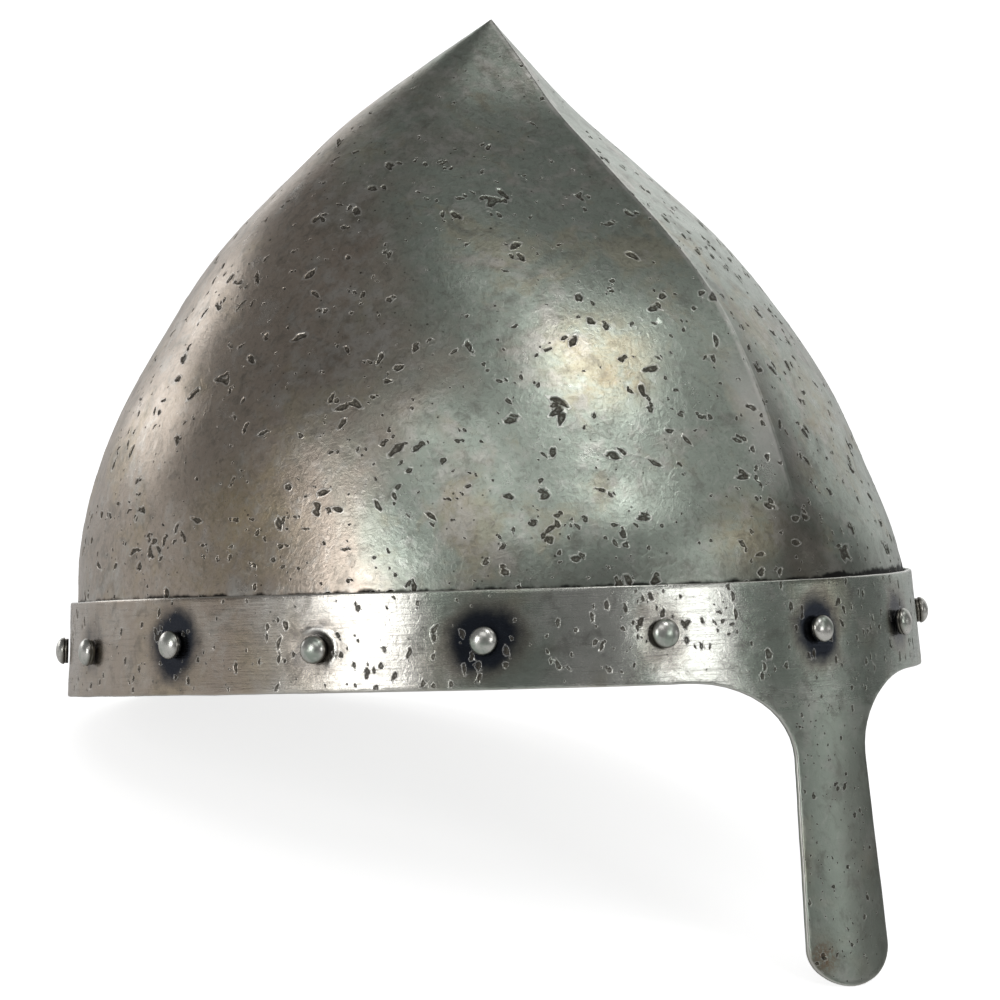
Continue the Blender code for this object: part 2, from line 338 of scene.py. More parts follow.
def pit_rings(chart, pits):
    """Chart places in the middle, on the floor, on the lip and at the lip's foot of every pit."""
    middle, frames = pit_frames(chart, pits)
    places = [middle]
    for number, (centre, frame_of) in enumerate(zip(middle, frames)):
        around = pits.size[number] * (1 + pits.stretch[number])
        corners = int(np.clip(around / PIT_SIDE, FEWEST_SIDES, MOST_SIDES))
        foot = max(PIT_FOOT, PIT_LIP + PIT_MARGIN / pits.size[number])
        floor_corners = max(5, round(corners * 0.6))
        for share, sides in ((PIT_FLOOR, floor_corners), (PIT_LIP, corners), (foot, corners)):
            angle = 2 * math.pi * (np.arange(sides) + number * 0.37) / sides
            circle = np.stack((np.cos(angle), np.sin(angle)), 1)
            ring = share * wobble(angle, number)[:, None] * circle
            places.append(centre + ring @ frame_of.T)
    return np.concatenate(places)


def ease(value, low, high):
    """0 below low, 1 above high, eased between."""
    t = np.clip((value - low) / (high - low), 0.0, 1.0)
    return t * t * (3 - 2 * t)


def press_pits(chart, places, pits):
    """Depth of every chart place, and its distance from a pit in shares of the pit's outline."""
    depth, lip = np.zeros(len(places)), np.zeros(len(places))
    away = np.full(len(places), PIT_REACH)
    tree = kdtree.KDTree(len(places))
    for index, (u, v) in enumerate(places):
        tree.insert((u, v, 0.0), index)
    tree.balance()
    middle, frames = pit_frames(chart, pits)
    for number, (centre, frame_of) in enumerate(zip(middle, frames)):
        reach = PIT_REACH * 1.3 * np.abs(frame_of).sum(axis=0).max()
        near = [found[1] for found in tree.find_range((*centre, 0.0), reach)]
        if not near:
            continue
        local = (places[near] - centre) @ np.linalg.inv(frame_of).T
        angle = np.arctan2(local[:, 1], local[:, 0])
        share = np.hypot(*local.T) / wobble(angle, number)
        uneven = 0.8 + 0.2 * np.sin(3 * local[:, 0] + number)
        sunk = pits.depth[number] * (1 - ease(share, 0.58, 1.0)) * uneven
        raised = ease(share, 0.9, PIT_LIP) * (1 - ease(share, PIT_LIP, PIT_FOOT))
        raised = pits.depth[number] * LIP_SHARE * raised
        depth[near] = np.maximum(depth[near], sunk)
        lip[near] = np.maximum(lip[near], raised)
        away[near] = np.minimum(away[near], share)
    return np.where(depth < 1e-6, -lip, depth), away


def sifted(pits, kept):
    """The pits that are to be kept."""
    return Pits(*(column[kept] for column in pits))


def joined(groups):
    """Groups of pits as one group."""
    return Pits(*(np.concatenate(columns) for columns in zip(*groups)))


def gathering(turn, level, around, up):
    """Soft noise that draws pits together, with its size round the helmet and up it."""
    spots = zip(around * np.cos(turn), around * np.sin(turn), up * level)
    return np.array([noise.noise(Vector(spot)) for spot in spots])


# ---------------------------------------------------------------- sheets


def hammering(points, slack, *blows):
    """Slack and soft dents, from 0 to twice their amount; each kind has size, amount, seed."""
    depth = slack
    for size, amount, seed in blows:
        shift = Vector((seed, 2 * seed, 3 * seed))
        found = [noise.noise(Vector(point) / size + shift) for point in points]
        depth = depth + amount * (1 + np.clip(np.array(found), -1, 1))
    return depth


def bare(chart, places):
    """Points of the chart's places on the untouched surface."""
    return chart.points(places, np.zeros(len(places)))


def spaced(chart, places, fixed):
    """The places, without those that crowd others; the first few are all kept."""
    cells = np.round(bare(chart, places) / MESH_GAP).astype(np.int64)
    _, first = np.unique(cells, axis=0, return_index=True)
    kept = np.union1d(first, np.arange(fixed))
    return places[kept]


def triangles_on(places, outline=None):
    """Delaunay triangles between places, inside the outline where one is given."""
    spots = [Vector(place) for place in places]
    faces = [list(range(outline))] if outline else []
    found = delaunay_2d_cdt(spots, [], faces, 1 if outline else 0, ON_LINE)
    same = [min(originals) for originals in found[3]]
    return places[same], [tuple(face) for face in found[2]]


def laid_back(points):
    """Points of the upright helmet, laid back as it rests."""
    turned = np.array(Euler((-LEAN, 0.0, 0.0)).to_matrix())
    return points @ turned.T + np.array(LIFT)


def add_piece(name, mesh):
    item = bpy.data.objects.new(name, mesh)
    bpy.context.scene.collection.objects.link(item)
    return item


def level_normals(points, faces):
    """Normals that the points of a triangle mesh have, weighted by area."""
    corners = np.array(faces)
    a, b, c = (points[corners[:, i]] for i in range(3))
    face = np.cross(b - a, c - a)
    normals = np.zeros(points.shape)
    for i in range(3):
        np.add.at(normals, corners[:, i], face)
    return normals / np.maximum(np.linalg.norm(normals, axis=1), 1e-20)[:, None]


def facing_out(normals, points):
    """The normals, turned as one so that they point away from the helmet's upright axis."""
    outwards = (normals[:, :2] * points[:, :2]).sum()
    return normals if outwards > 0 else -normals


def key(place):
    """A chart place as a key that two meshes of one outline share."""
    return tuple(np.round(place, 8))


def two_skins(places, faces, inner_places, inner_faces):
    """Faces of the outer and the inner skin as one list, and where each place's point is in it."""
    first = len(places)
    corner = {key(place): i for i, place in enumerate(places)}
    inner_corner = {key(place): i + first for i, place in enumerate(inner_places)}
    inner_faces = [tuple(i + first for i in reversed(face)) for face in inner_faces]
    return faces + inner_faces, corner, inner_corner


def sheet_object(name, points, faces, marks, normals):
    """Object with named marks on its points, welded where two points meet.

    The first points get the given normals where those aren't zero.
    """
    mesh = bpy.data.meshes.new(name)
    mesh.from_pydata(laid_back(points).tolist(), [], faces)
    turned = np.zeros(points.shape)
    turned[: len(normals)] = laid_back(normals) - np.array(LIFT)
    layer = mesh.attributes.new("level", "FLOAT_VECTOR", "POINT")
    layer.data.foreach_set("vector", turned.astype(np.float32).ravel())
    for mark, values in marks.items():
        layer = mesh.attributes.new(mark, "FLOAT", "POINT")
        layer.data.foreach_set("value", values.astype(np.float32))
    surface = bmesh.new()
    surface.from_mesh(mesh)
    bmesh.ops.remove_doubles(surface, verts=surface.verts, dist=WELD_DISTANCE)
    bmesh.ops.dissolve_degenerate(surface, edges=surface.edges, dist=WELD_DISTANCE)
    bmesh.ops.recalc_face_normals(surface, faces=surface.faces)
    if surface.calc_volume(signed=True) < 0:
        bmesh.ops.reverse_faces(surface, faces=surface.faces)
    surface.to_mesh(mesh)
    surface.free()
    mesh.shade_smooth()
    turned = np.empty(len(mesh.vertices) * 3, np.float32)
    mesh.attributes["level"].data.foreach_get("vector", turned)
    mesh.normals_split_custom_set_from_vertices(turned.reshape(-1, 3).tolist())
    mesh.attributes.remove(mesh.attributes["level"])
    return add_piece(name, mesh)


# ---------------------------------------------------------------- skull

# How far apart the skull's places stand, how much coarser the inner skin is, and how far each
# place strays from its step
SKULL_GRAIN = 0.0024
INNER_COARSER = 2.2
JITTER = 0.2
SPREAD_SEED = 5

# Lines of places along the ridge, metres beside it, and how far apart places stand on them
RIDGE_OFFSETS = (0.0, 0.0004, -0.0004, 0.001, -0.001, 0.002, -0.002)
RIDGE_START, RIDGE_GAP = 0.001, 0.0012

# The hammered swell: how far the face lies inside the solid's, and size, amount and seed
SKULL_SWELL = (0.00004, (0.026, 0.00022, 3), (0.009, 0.00004, 8))

# Share of the disc inside which points get the normals of the sheet without pits
HEM_ZONE = 0.9999

# Kinds of pits: count, half widths, stretch, depth as a share of the half width
SKULL_PITS = (
    (700, (0.00062, 0.00112), (1.1, 2.6), 0.40),
    (980, (0.00038, 0.00062), (1.0, 2.2), 0.50),
    (1100, (0.00020, 0.00036), (1.0, 1.6), 0.60),
)
SKULL_PIT_SEED = 11
TWIN_CHANCE = 0.36

# Lowest and highest share of the skull's rise at which a pit may stand
PIT_ZONE = (-0.005, 0.975)


def skull_spread(chart, grain):
    """Rings of chart places from hem to tip, about one grain apart."""
    rng = np.random.default_rng(SPREAD_SEED)
    rings, slant = [], 0.0
    while slant < chart.slants[-1]:
        climb = np.interp(slant, chart.slants, chart.climbs)
        count = max(8, round(np.interp(slant, chart.slants, chart.girths) / grain))
        turn = 2 * math.pi * (np.arange(count) + rng.random()) / count
        jitter = 0.0 if slant == 0.0 else JITTER * 2 * math.pi / count
        turn = turn + rng.uniform(-jitter, jitter, count)
        rings.append(chart.plane(turn, np.full(count, climb)))
        slant += grain * ROW_PITCH
    return rings


def ridge_lines(chart):
    """Chart places along the ridge over brow and nape, and beside it."""
    slant = np.arange(RIDGE_START, chart.slants[-1], RIDGE_GAP)
    climb = np.interp(slant, chart.slants, chart.climbs)
    girth = np.interp(slant, chart.slants, chart.girths)
    lines = []
    for middle in (0.0, math.pi):
        for offset in RIDGE_OFFSETS:
            turn = middle + offset * 2 * math.pi / girth
            lines.append(chart.plane(turn, climb))
    return np.concatenate(lines)


def skull_pits(chart):
    """Pits all over the skull, gathered into groups; some have a smaller twin at their end."""
    rng = np.random.default_rng(SKULL_PIT_SEED)
    groups = []
    for count, sizes, stretches, deep in SKULL_PITS:
        turn, climb = chart.random_places(rng, count * 3)
        gathered = gathering(turn, climb, 6, 7)
        wanted = rng.random(count * 3) < 0.50 + 0.44 * gathered - 0.22 * climb
        turn, climb = turn[wanted][:count], climb[wanted][:count]
        heading = rng.uniform(0, math.pi, len(turn))
        size, stretch, depth = pit_shapes(rng, len(turn), sizes, stretches, deep)
        small_near_tip = 1 - 0.5 * ease(climb, 0.68, 0.90)
        size, depth = size * small_near_tip, depth * small_near_tip
        apart = 1.5 * size * stretch / np.interp(climb, chart.climbs, chart.girths) * 2 * math.pi
        twins = Pits(
            turn + apart * np.cos(heading),
            np.clip(climb + 1.4 * size * np.sin(heading) / SKULL_RISE, HEM_CLIMB, 0.97),
            size * 0.65,
            stretch,
            heading + 0.5,
            depth * 0.8,
        )
        groups.append(Pits(turn, climb, size, stretch, heading, depth))
        groups.append(sifted(twins, rng.random(len(turn)) < TWIN_CHANCE))
    every = joined(groups)
    return sifted(every, (every.level > PIT_ZONE[0]) & (every.level < PIT_ZONE[1]))


def skull_piece():
    """The skull as a closed sheet: a pitted outer skin, a plain inner one, and the hem between."""
    chart = SkullChart()
    pits = skull_pits(chart)
    rings = skull_spread(chart, SKULL_GRAIN)
    loose = np.concatenate((*rings, ridge_lines(chart), pit_rings(chart, pits)))
    loose = loose[np.hypot(*loose.T) <= 1.0 + ON_LINE]
    places, faces = triangles_on(spaced(chart, loose, len(rings[0])))

    depth, away = press_pits(chart, places, pits)
    swell = hammering(bare(chart, places), *SKULL_SWELL)
    outer = chart.points(places, depth + swell)
    normals = facing_out(level_normals(chart.points(places, swell), faces), outer)
    normals[(away < PIT_WALL) | (np.hypot(*places.T) > HEM_ZONE)] = 0.0

    inner_rings = skull_spread(chart, SKULL_GRAIN * INNER_COARSER)
    inner_places, inner_faces = triangles_on(np.concatenate((rings[0], *inner_rings[1:])))
    inner = chart.points(inner_places, np.full(len(inner_places), SKULL_SHEET))

    faces, corner, inner_corner = two_skins(places, faces, inner_places, inner_faces)
    rim = [(corner[key(place)], inner_corner[key(place)]) for place in rings[0]]
    faces += [(a, b, rim[i - 1][1], rim[i - 1][0]) for i, (a, b) in enumerate(rim)]
    marks = {"pit": np.concatenate((away, np.full(len(inner), PIT_REACH)))}
    return sheet_object("skull_steel", np.concatenate((outer, inner)), faces, marks, normals)


# ---------------------------------------------------------------- brow band and nasal

BAND_GRAIN = 0.0019
NASAL_GRAIN = 0.0016
BAND_PIT_SEED = 23

# The hammered swell of the band, and of its edges, as for the skull
BAND_SLACK = 0.00003
BAND_SWELL = (BAND_SLACK, (0.018, 0.00012, 5), (0.006, 0.00004, 9))
LOW_EDGE_BLOWS = ((0.012, 0.00016, 31), (0.0035, 0.000056, 33))
HIGH_EDGE_BLOWS = ((0.012, 0.00010, 47), (0.0035, 0.000035, 49))

# Places along the edges: on each half of the lower edge, on the upper one, along the nasal's
# fillets and tip, and the gap between those on its blade
LOW_EDGE_PLACES, HIGH_EDGE_PLACES, ROUND_PLACES = 155, 420, 12
BLADE_GAP = 0.0015

# Rounding of the edges from the outer to the inner face, in shares of its radius: how far in
# from the edge, how far below the face, and whether that is the inner face
EDGE_PROFILE = ((0.29, 0.29, 0), (0.0, 1.0, 0), (0.0, -1.0, 1), (0.29, -0.29, 1))

# How far loose places keep from the rounding, from the ends of the weld and from the nasal's
# edge, and how wide the strip by the weld is whose normals are left to the mesh
EDGE_MARGIN = 0.0003
WELD_MARGIN = 0.0005
NASAL_MARGIN = 0.0012
WELD_STRIP = 0.004

# Kinds of pits on the band and on the nasal: count, half widths, stretch, depth as a share
BAND_PITS = (
    (300, (0.00046, 0.00076), (1.5, 2.5), 0.42),
    (240, (0.00028, 0.00046), (1.2, 2.2), 0.50),
    (220, (0.00018, 0.00028), (1.0, 1.6), 0.55),
)
NASAL_PITS = (
    (30, (0.00048, 0.00078), (1.0, 1.5), 0.45),
    (150, (0.00016, 0.00032), (1.0, 1.5), 0.55),
)

# How far the pits' middles keep from the band's edges, the rivets and the weld
PIT_EDGE, PIT_RIVET, PIT_WELD = 0.0012, 0.0045, 0.003

# Round each rivet: reach of the heat, the dish with its flat and its outer radius, and the
# rings of places with the gap between them
HEAT_REACH = 0.0092
DISH_DEPTH = 0.00022
DISH_FLAT, DISH_REACH = 0.003, 0.0085
RIVET_RINGS = (0.0030, 0.0037, 0.0044, 0.0050, 0.0056, 0.0064, 0.0075)
RIVET_RING_GAP = 0.0010

# Burr that one rivet's setting raised beside its head: the rivet, the burr's radius, half
# width and height, and the angles between which it runs, from the brow's side upwards
Burr = namedtuple("Burr", "rivet radius half_width height first last")
BURR = Burr(3, 0.0050, 0.0006, 0.00032, math.radians(-50), math.radians(125))
BURR_END = 0.2

# Spalled places beside the brow rivet: turn, height, half width, stretch
SPALLS = (
    (0.285, 0.0150, 0.00060, 1.5),
    (0.300, 0.0128, 0.00045, 1.2),
    (0.272, 0.0118, 0.00035, 2.0),
    (0.262, 0.0142, 0.00050, 1.8),
    (0.292, 0.0172, 0.00040, 2.4),
    (0.310, 0.0150, 0.00030, 1.6),
    (0.250, 0.0125, 0.00030, 1.3),
)


def rivet_place(number):
    """Turn and height of a rivet's middle."""
    along, up, _ = RIVETS.get(number, PLAIN_RIVET)
    turn = 2 * math.pi / RIVET_COUNT * (number + along)
    return (turn + math.pi) % (2 * math.pi) - math.pi, RIVET_LINE + up * BAND_HEIGHT


def nasal_half_width(depth):
    """Half the nasal's width at a depth below the band's lower edge."""
    neck, tip = NASAL_NECK / 2, NASAL_TIP / 2
    if depth < FILLET_DROP:
        above = 1 - depth / FILLET_DROP
        return neck + FILLET_ALONG * (1 - math.sqrt(1 - above**2))
    blade = NASAL_LENGTH - FILLET_DROP
    width = neck + (tip - neck) * (depth - FILLET_DROP) / blade
    into_round = max(0.0, depth - (NASAL_LENGTH - NASAL_ROUNDING)) / NASAL_ROUNDING
    return width * math.sqrt(max(0.0, 1 - into_round**2))


def lower_edge(chart):
    """The band's lower edge from nape to nape, down one side of the nasal and up the other."""
    quarter = math.pi / 2
    round_end = NASAL_LENGTH - NASAL_ROUNDING
    turns = [quarter * i / ROUND_PLACES for i in range(ROUND_PLACES + 1)]
    fillet = [FILLET_DROP * (1 - math.cos(turn)) for turn in turns]
    blade = list(np.arange(FILLET_DROP + BLADE_GAP, round_end, BLADE_GAP))
    tip = [NASAL_LENGTH - NASAL_ROUNDING * (1 - math.sin(turn)) for turn in turns[:-1]]
    middle = -math.asin(NASAL_ASIDE / SIDE_REACH)
    depths = fillet + blade + tip
    edges = [math.asin(nasal_half_width(depth) / SIDE_REACH) for depth in depths]
    left = [(middle - edge, -depth) for edge, depth in zip(edges, depths)]
    right = [(middle + edge, -depth) for edge, depth in zip(edges, depths)]
    nape = np.linspace(-math.pi, left[0][0], LOW_EDGE_PLACES)[:-1]
    temple = np.linspace(right[0][0], math.pi, LOW_EDGE_PLACES)[1:]
    path = [(turn, 0.0) for turn in nape] + left + [(middle, -NASAL_LENGTH)] + right[::-1]
    path += [(turn, 0.0) for turn in temple]
    turns, heights = np.array(path).T
    return chart.plane(turns, heights)


def sideways(path):
    """Unit vectors to the left of an open path; its two ends look straight up or down."""
    ahead = np.gradient(path, axis=0)
    ahead[[0, -1], 1] = 0.0
    side = np.stack((-ahead[:, 1], ahead[:, 0]), axis=1)
    return side / np.linalg.norm(side, axis=1)[:, None]


def rough_edge(chart, path, blows):
    """The path pushed in to its left by a hammered, slightly wavy edge."""
    wave = hammering(bare(chart, path), 0.0, *blows)
    return path + sideways(path) * wave[:, None]


def band_pits(chart):
    """Pits on the band, mostly upright, on the nasal, and the spalled places."""
    rng = np.random.default_rng(BAND_PIT_SEED)
    groups = []
    for count, sizes, stretches, deep in BAND_PITS:
        turn = rng.uniform(-math.pi, math.pi, count * 3)
        height = rng.uniform(PIT_EDGE, BAND_HEIGHT - PIT_EDGE, count * 3)
        wanted = rng.random(count * 3) < 0.48 + 0.45 * gathering(turn, height, 9, 60)
        turn, height = turn[wanted][:count], height[wanted][:count]
        heading = math.pi / 2 + rng.normal(0.0, 0.25, len(turn))
        size, stretch, depth = pit_shapes(rng, len(turn), sizes, stretches, deep)
        groups.append(Pits(turn, height, size, stretch, heading, depth))
    for count, sizes, stretches, deep in NASAL_PITS:
        height = rng.uniform(-NASAL_LENGTH + 0.003, 0.002, count)
        share = rng.uniform(-0.9, 0.9, count)
        half = np.array([nasal_half_width(max(-h, 0.0)) for h in height])
        turn = share * np.minimum(half, 0.024) / SIDE_REACH
        heading = rng.uniform(0, math.pi, count)
        size, stretch, depth = pit_shapes(rng, count, sizes, stretches, deep)
        groups.append(Pits(turn, height, size, stretch, heading, depth))
    turn, height, size, stretch = np.array(SPALLS).T
    heading = rng.uniform(0, math.pi, len(SPALLS))
    groups.append(Pits(turn, height, size, stretch, heading, size * 0.5))
    every = joined(groups)
    clear = np.abs(every.turn) * chart.RADIUS < math.pi * chart.RADIUS - PIT_WELD
    for number in range(RIVET_COUNT):
        turn, height = rivet_place(number)
        clear &= np.hypot((every.turn - turn) * chart.RADIUS, every.level - height) > PIT_RIVET
    return sifted(every, clear)


def from_rivet(chart, places, number):
    """How far chart places are from a rivet's middle: towards the brow, up, and straight."""
    turn, height = rivet_place(number)
    girth = 2 * math.pi * chart.RADIUS
    along = (turn * chart.RADIUS - places[:, 0] + girth / 2) % girth - girth / 2
    up = places[:, 1] - height
    return along, up, np.hypot(along, up)


def rivet_marks(chart, places):
    """Heat bloom round each rivet, the shallow dish that its setting left, and one burr."""
    bloom, dish = np.zeros(len(places)), np.zeros(len(places))
    for number in range(RIVET_COUNT):
        apart = from_rivet(chart, places, number)[2]
        dark = RIVETS.get(number, PLAIN_RIVET)[2]
        bloom = np.maximum(bloom, dark * np.exp(-((apart / HEAT_REACH) ** 2)))
        dish = np.maximum(dish, DISH_DEPTH * (1 - ease(apart, DISH_FLAT, DISH_REACH)))
    along, up, apart = from_rivet(chart, places, BURR.rivet)
    angle = np.arctan2(up, along)
    burr = ease(angle, BURR.first - BURR_END, BURR.first + BURR_END)
    burr *= 1 - ease(angle, BURR.last - BURR_END, BURR.last + BURR_END)
    beside = np.abs(apart - BURR.radius)
    burr *= 1 - ease(beside, BURR.half_width * 0.3, BURR.half_width * 1.3)
    return bloom, dish, burr


def rivet_rings(chart):
    """Loose places round every rivet, closer together than the strip's own."""
    places = []
    for number in range(RIVET_COUNT):
        turn, height = rivet_place(number)
        middle = chart.plane(np.array([turn]), height)
        for radius in RIVET_RINGS:
            count = round(2 * math.pi * radius / RIVET_RING_GAP)
            angle = 2 * math.pi * (np.arange(count) + radius * 1000) / count
            places.append(middle + radius * np.stack((np.cos(angle), np.sin(angle)), axis=1))
    return np.concatenate(places)


def strip_grid(chart, grain):
    """Loose places all over the band, and on the weld at the nape."""
    rows = []
    turns = np.arange(-math.pi, math.pi, grain / chart.RADIUS)[1:-1]
    heights = np.arange(grain * 0.8, BAND_HEIGHT - grain * 0.4, grain * ROW_PITCH)
    for row, height in enumerate(heights):
        rows.append(chart.plane(turns + (row % 2) * grain / 2 / chart.RADIUS, height))
        rows.append(chart.plane(np.array([-math.pi, math.pi]), height))
    return np.concatenate(rows)


def nasal_grid(chart, grain):
    """Loose places all over the nasal."""
    rows = []
    middle = -math.asin(NASAL_ASIDE / SIDE_REACH)
    for row, height in enumerate(np.arange(0.0, -NASAL_LENGTH + BLADE_GAP, -grain * ROW_PITCH)):
        half = math.asin(nasal_half_width(-height) / SIDE_REACH) - NASAL_MARGIN / chart.RADIUS
        if half <= 0:
            continue
        turns = np.arange(-half, half, grain / chart.RADIUS) + (row % 2) * grain / 2 / chart.RADIUS
        rows.append(chart.plane(middle + turns[turns < half], height))
    return np.concatenate(rows)


def inside(places, outline):
    """True for places inside a closed outline."""
    x, y = places.T
    found = np.zeros(len(places), bool)
    for (x0, y0), (x1, y1) in zip(outline, np.roll(outline, -1, axis=0)):
        if y0 == y1:
            continue
        crosses = (y0 > y) != (y1 > y)
        found ^= crosses & (x < (x1 - x0) * (y - y0) / (y1 - y0) + x0)
    return found


def band_piece():
    """Band and nasal as one closed sheet, welded at the nape, with rounded, wavy edges."""
    chart = BandChart()
    pits = band_pits(chart)
    low = rough_edge(chart, lower_edge(chart), LOW_EDGE_BLOWS)
    turns = np.linspace(math.pi, -math.pi, HIGH_EDGE_PLACES)
    high = rough_edge(chart, chart.plane(turns, BAND_HEIGHT), HIGH_EDGE_BLOWS)
    sides = sideways(low), sideways(high)

    def edges(offset):
        """The lower and the upper edge, moved in by the offset."""
        return [path + side * offset for path, side in zip((low, high), sides)]

    def from_weld(places):
        return np.abs(np.abs(places[:, 0]) - math.pi * chart.RADIUS)

    insets = edges(EDGE_ROUND)
    outline = np.concatenate(insets)
    keep_off = np.concatenate(edges(EDGE_ROUND + EDGE_MARGIN))
    weld = outline[from_weld(outline) < ON_LINE][:, 1]

    def sheet(*groups):
        """Places and triangles of a skin with these loose places."""
        loose = np.concatenate(groups)
        ends = from_weld(loose) < ON_LINE
        ends &= (loose[:, 1] > weld.min() + WELD_MARGIN) & (loose[:, 1] < weld.max() - WELD_MARGIN)
        loose = loose[inside(loose, keep_off) | ends]
        fixed = len(outline)
        return triangles_on(spaced(chart, np.concatenate((outline, loose)), fixed), fixed)

    places, faces = sheet(
        strip_grid(chart, BAND_GRAIN),
        nasal_grid(chart, NASAL_GRAIN),
        rivet_rings(chart),
        pit_rings(chart, pits),
    )
    inner_places, inner_faces = sheet(
        strip_grid(chart, BAND_GRAIN * 2), nasal_grid(chart, NASAL_GRAIN * 2)
    )

    depth, away = press_pits(chart, places, pits)
    bloom, dish, burr = rivet_marks(chart, places)
    swell = hammering(bare(chart, places), *BAND_SWELL)
    level = dish + swell - burr * BURR.height
    outer = chart.points(places, np.maximum(depth, -BAND_SLACK) + level)
    normals = facing_out(level_normals(chart.points(places, level), faces), outer)
    normals[(away < PIT_WALL) | (from_weld(places) < WELD_STRIP)] = 0.0
    normals[: len(outline)] = 0.0
    inner = chart.points(inner_places, np.full(len(inner_places), BAND_SHEET))

    points = [outer, inner]
    unmarked = np.zeros(len(inner))
    away, bloom, burr = [away, unmarked + PIT_REACH], [bloom, unmarked], [burr, unmarked]
    faces, corner, inner_corner = two_skins(places, faces, inner_places, inner_faces)
    total = len(outer) + len(inner)
    for which, inset in enumerate(insets):
        loops = [[corner[key(place)] for place in inset]]
        start = swell[loops[0]] + dish[loops[0]]
        for offset, deep, far in EDGE_PROFILE:
            path = edges(EDGE_ROUND * offset)[which]
            face_depth = BAND_SHEET if far else start
            points.append(chart.points(path, face_depth + EDGE_ROUND * deep * np.ones(len(path))))
            loops.append(list(range(total, total + len(path))))
            total += len(path)
            away.append(np.full(len(path), PIT_REACH))
            bloom.append(np.zeros(len(path)))
            burr.append(np.full(len(path), 0.0 if far else 1.0))
        loops.append([inner_corner[key(place)] for place in inset])
        for far_loop, near_loop in zip(loops, loops[1:]):
            faces.extend(zip(far_loop, near_loop, near_loop[1:], far_loop[1:]))
    marks = {"pit": away, "burnish": burr, "bloom": bloom}
    marks = {name: np.concatenate(parts) for name, parts in marks.items()}
    return sheet_object("brow_band_steel", np.concatenate(points), faces, marks, normals)


# ---------------------------------------------------------------- nodes


class Line:
    """What comes out of a node; arithmetic on it adds Math nodes."""

    def __init__(self, bench, socket):
        self.bench, self.socket = bench, socket

    def maths(self, operation, a, b):
        return self.bench.node("ShaderNodeMath", {"operation": operation}, {0: a, 1: b})

    def __add__(self, other):
        return self.maths("ADD", self, other)

    def __sub__(self, other):
        return self.maths("SUBTRACT", self, other)

    def __rsub__(self, other):
        return self.maths("SUBTRACT", other, self)

    def __mul__(self, other):
        return self.maths("MULTIPLY", self, other)

    def __truediv__(self, other):
        return self.maths("DIVIDE", self, other)

    __radd__, __rmul__ = __add__, __mul__


class Bench:
    """A node tree and the nodes that are laid out in it."""

    def __init__(self, tree):
        self.tree = tree

    def node(self, kind, settings=None, inputs=None, output=0):
        """One of the new node's outputs; a list as an input joins several lines there."""
        made = self.tree.nodes.new(kind)
        for name, value in (settings or {}).items():
            setattr(made, name, value)
        for name, value in (inputs or {}).items():
            lines = value if isinstance(value, list) else [value]
            if isinstance(lines[0], Line):
                for line in lines:
                    self.tree.links.new(line.socket, made.inputs[name])
            else:
                made.inputs[name].default_value = value
        return Line(self, made.outputs[output]) if made.outputs else None

    def part(self, vector, axis):
        return self.node("ShaderNodeSeparateXYZ", {}, {"Vector": vector}, output=axis)

    def arrow(self, **parts):
        return self.node("ShaderNodeCombineXYZ", {}, parts)


# ---------------------------------------------------------------- rivets

# Named inputs of the rivet tree, with the size that each has
RIVET_SIZES = {
    "Head Radius": 0.0035,
    "Head Rise": 0.0023,
    "Brim": 0.0004,
    "Neck Radius": 0.0032,
    "Neck Length": 0.0008,
    "Shank Length": 0.0042,
    "Peen Radius": 0.0031,
    "Peen Thickness": 0.0009,
    "Dents": 0.00007,
}
RIVET_SEED = 7
HEAD_SEGMENTS, HEAD_RINGS, PEEN_SEGMENTS = 28, 18, 20
SMALLEST_RIVET, LARGEST_RIVET = (0.95, 0.95, 0.9), (1.04, 1.04, 1.0)
DENT_PITCH, DENT_LEVEL = 420.0, 0.62

# Step over which the band is felt for the way that a rivet points, in radians and metres
RIVET_PROBE = 0.002


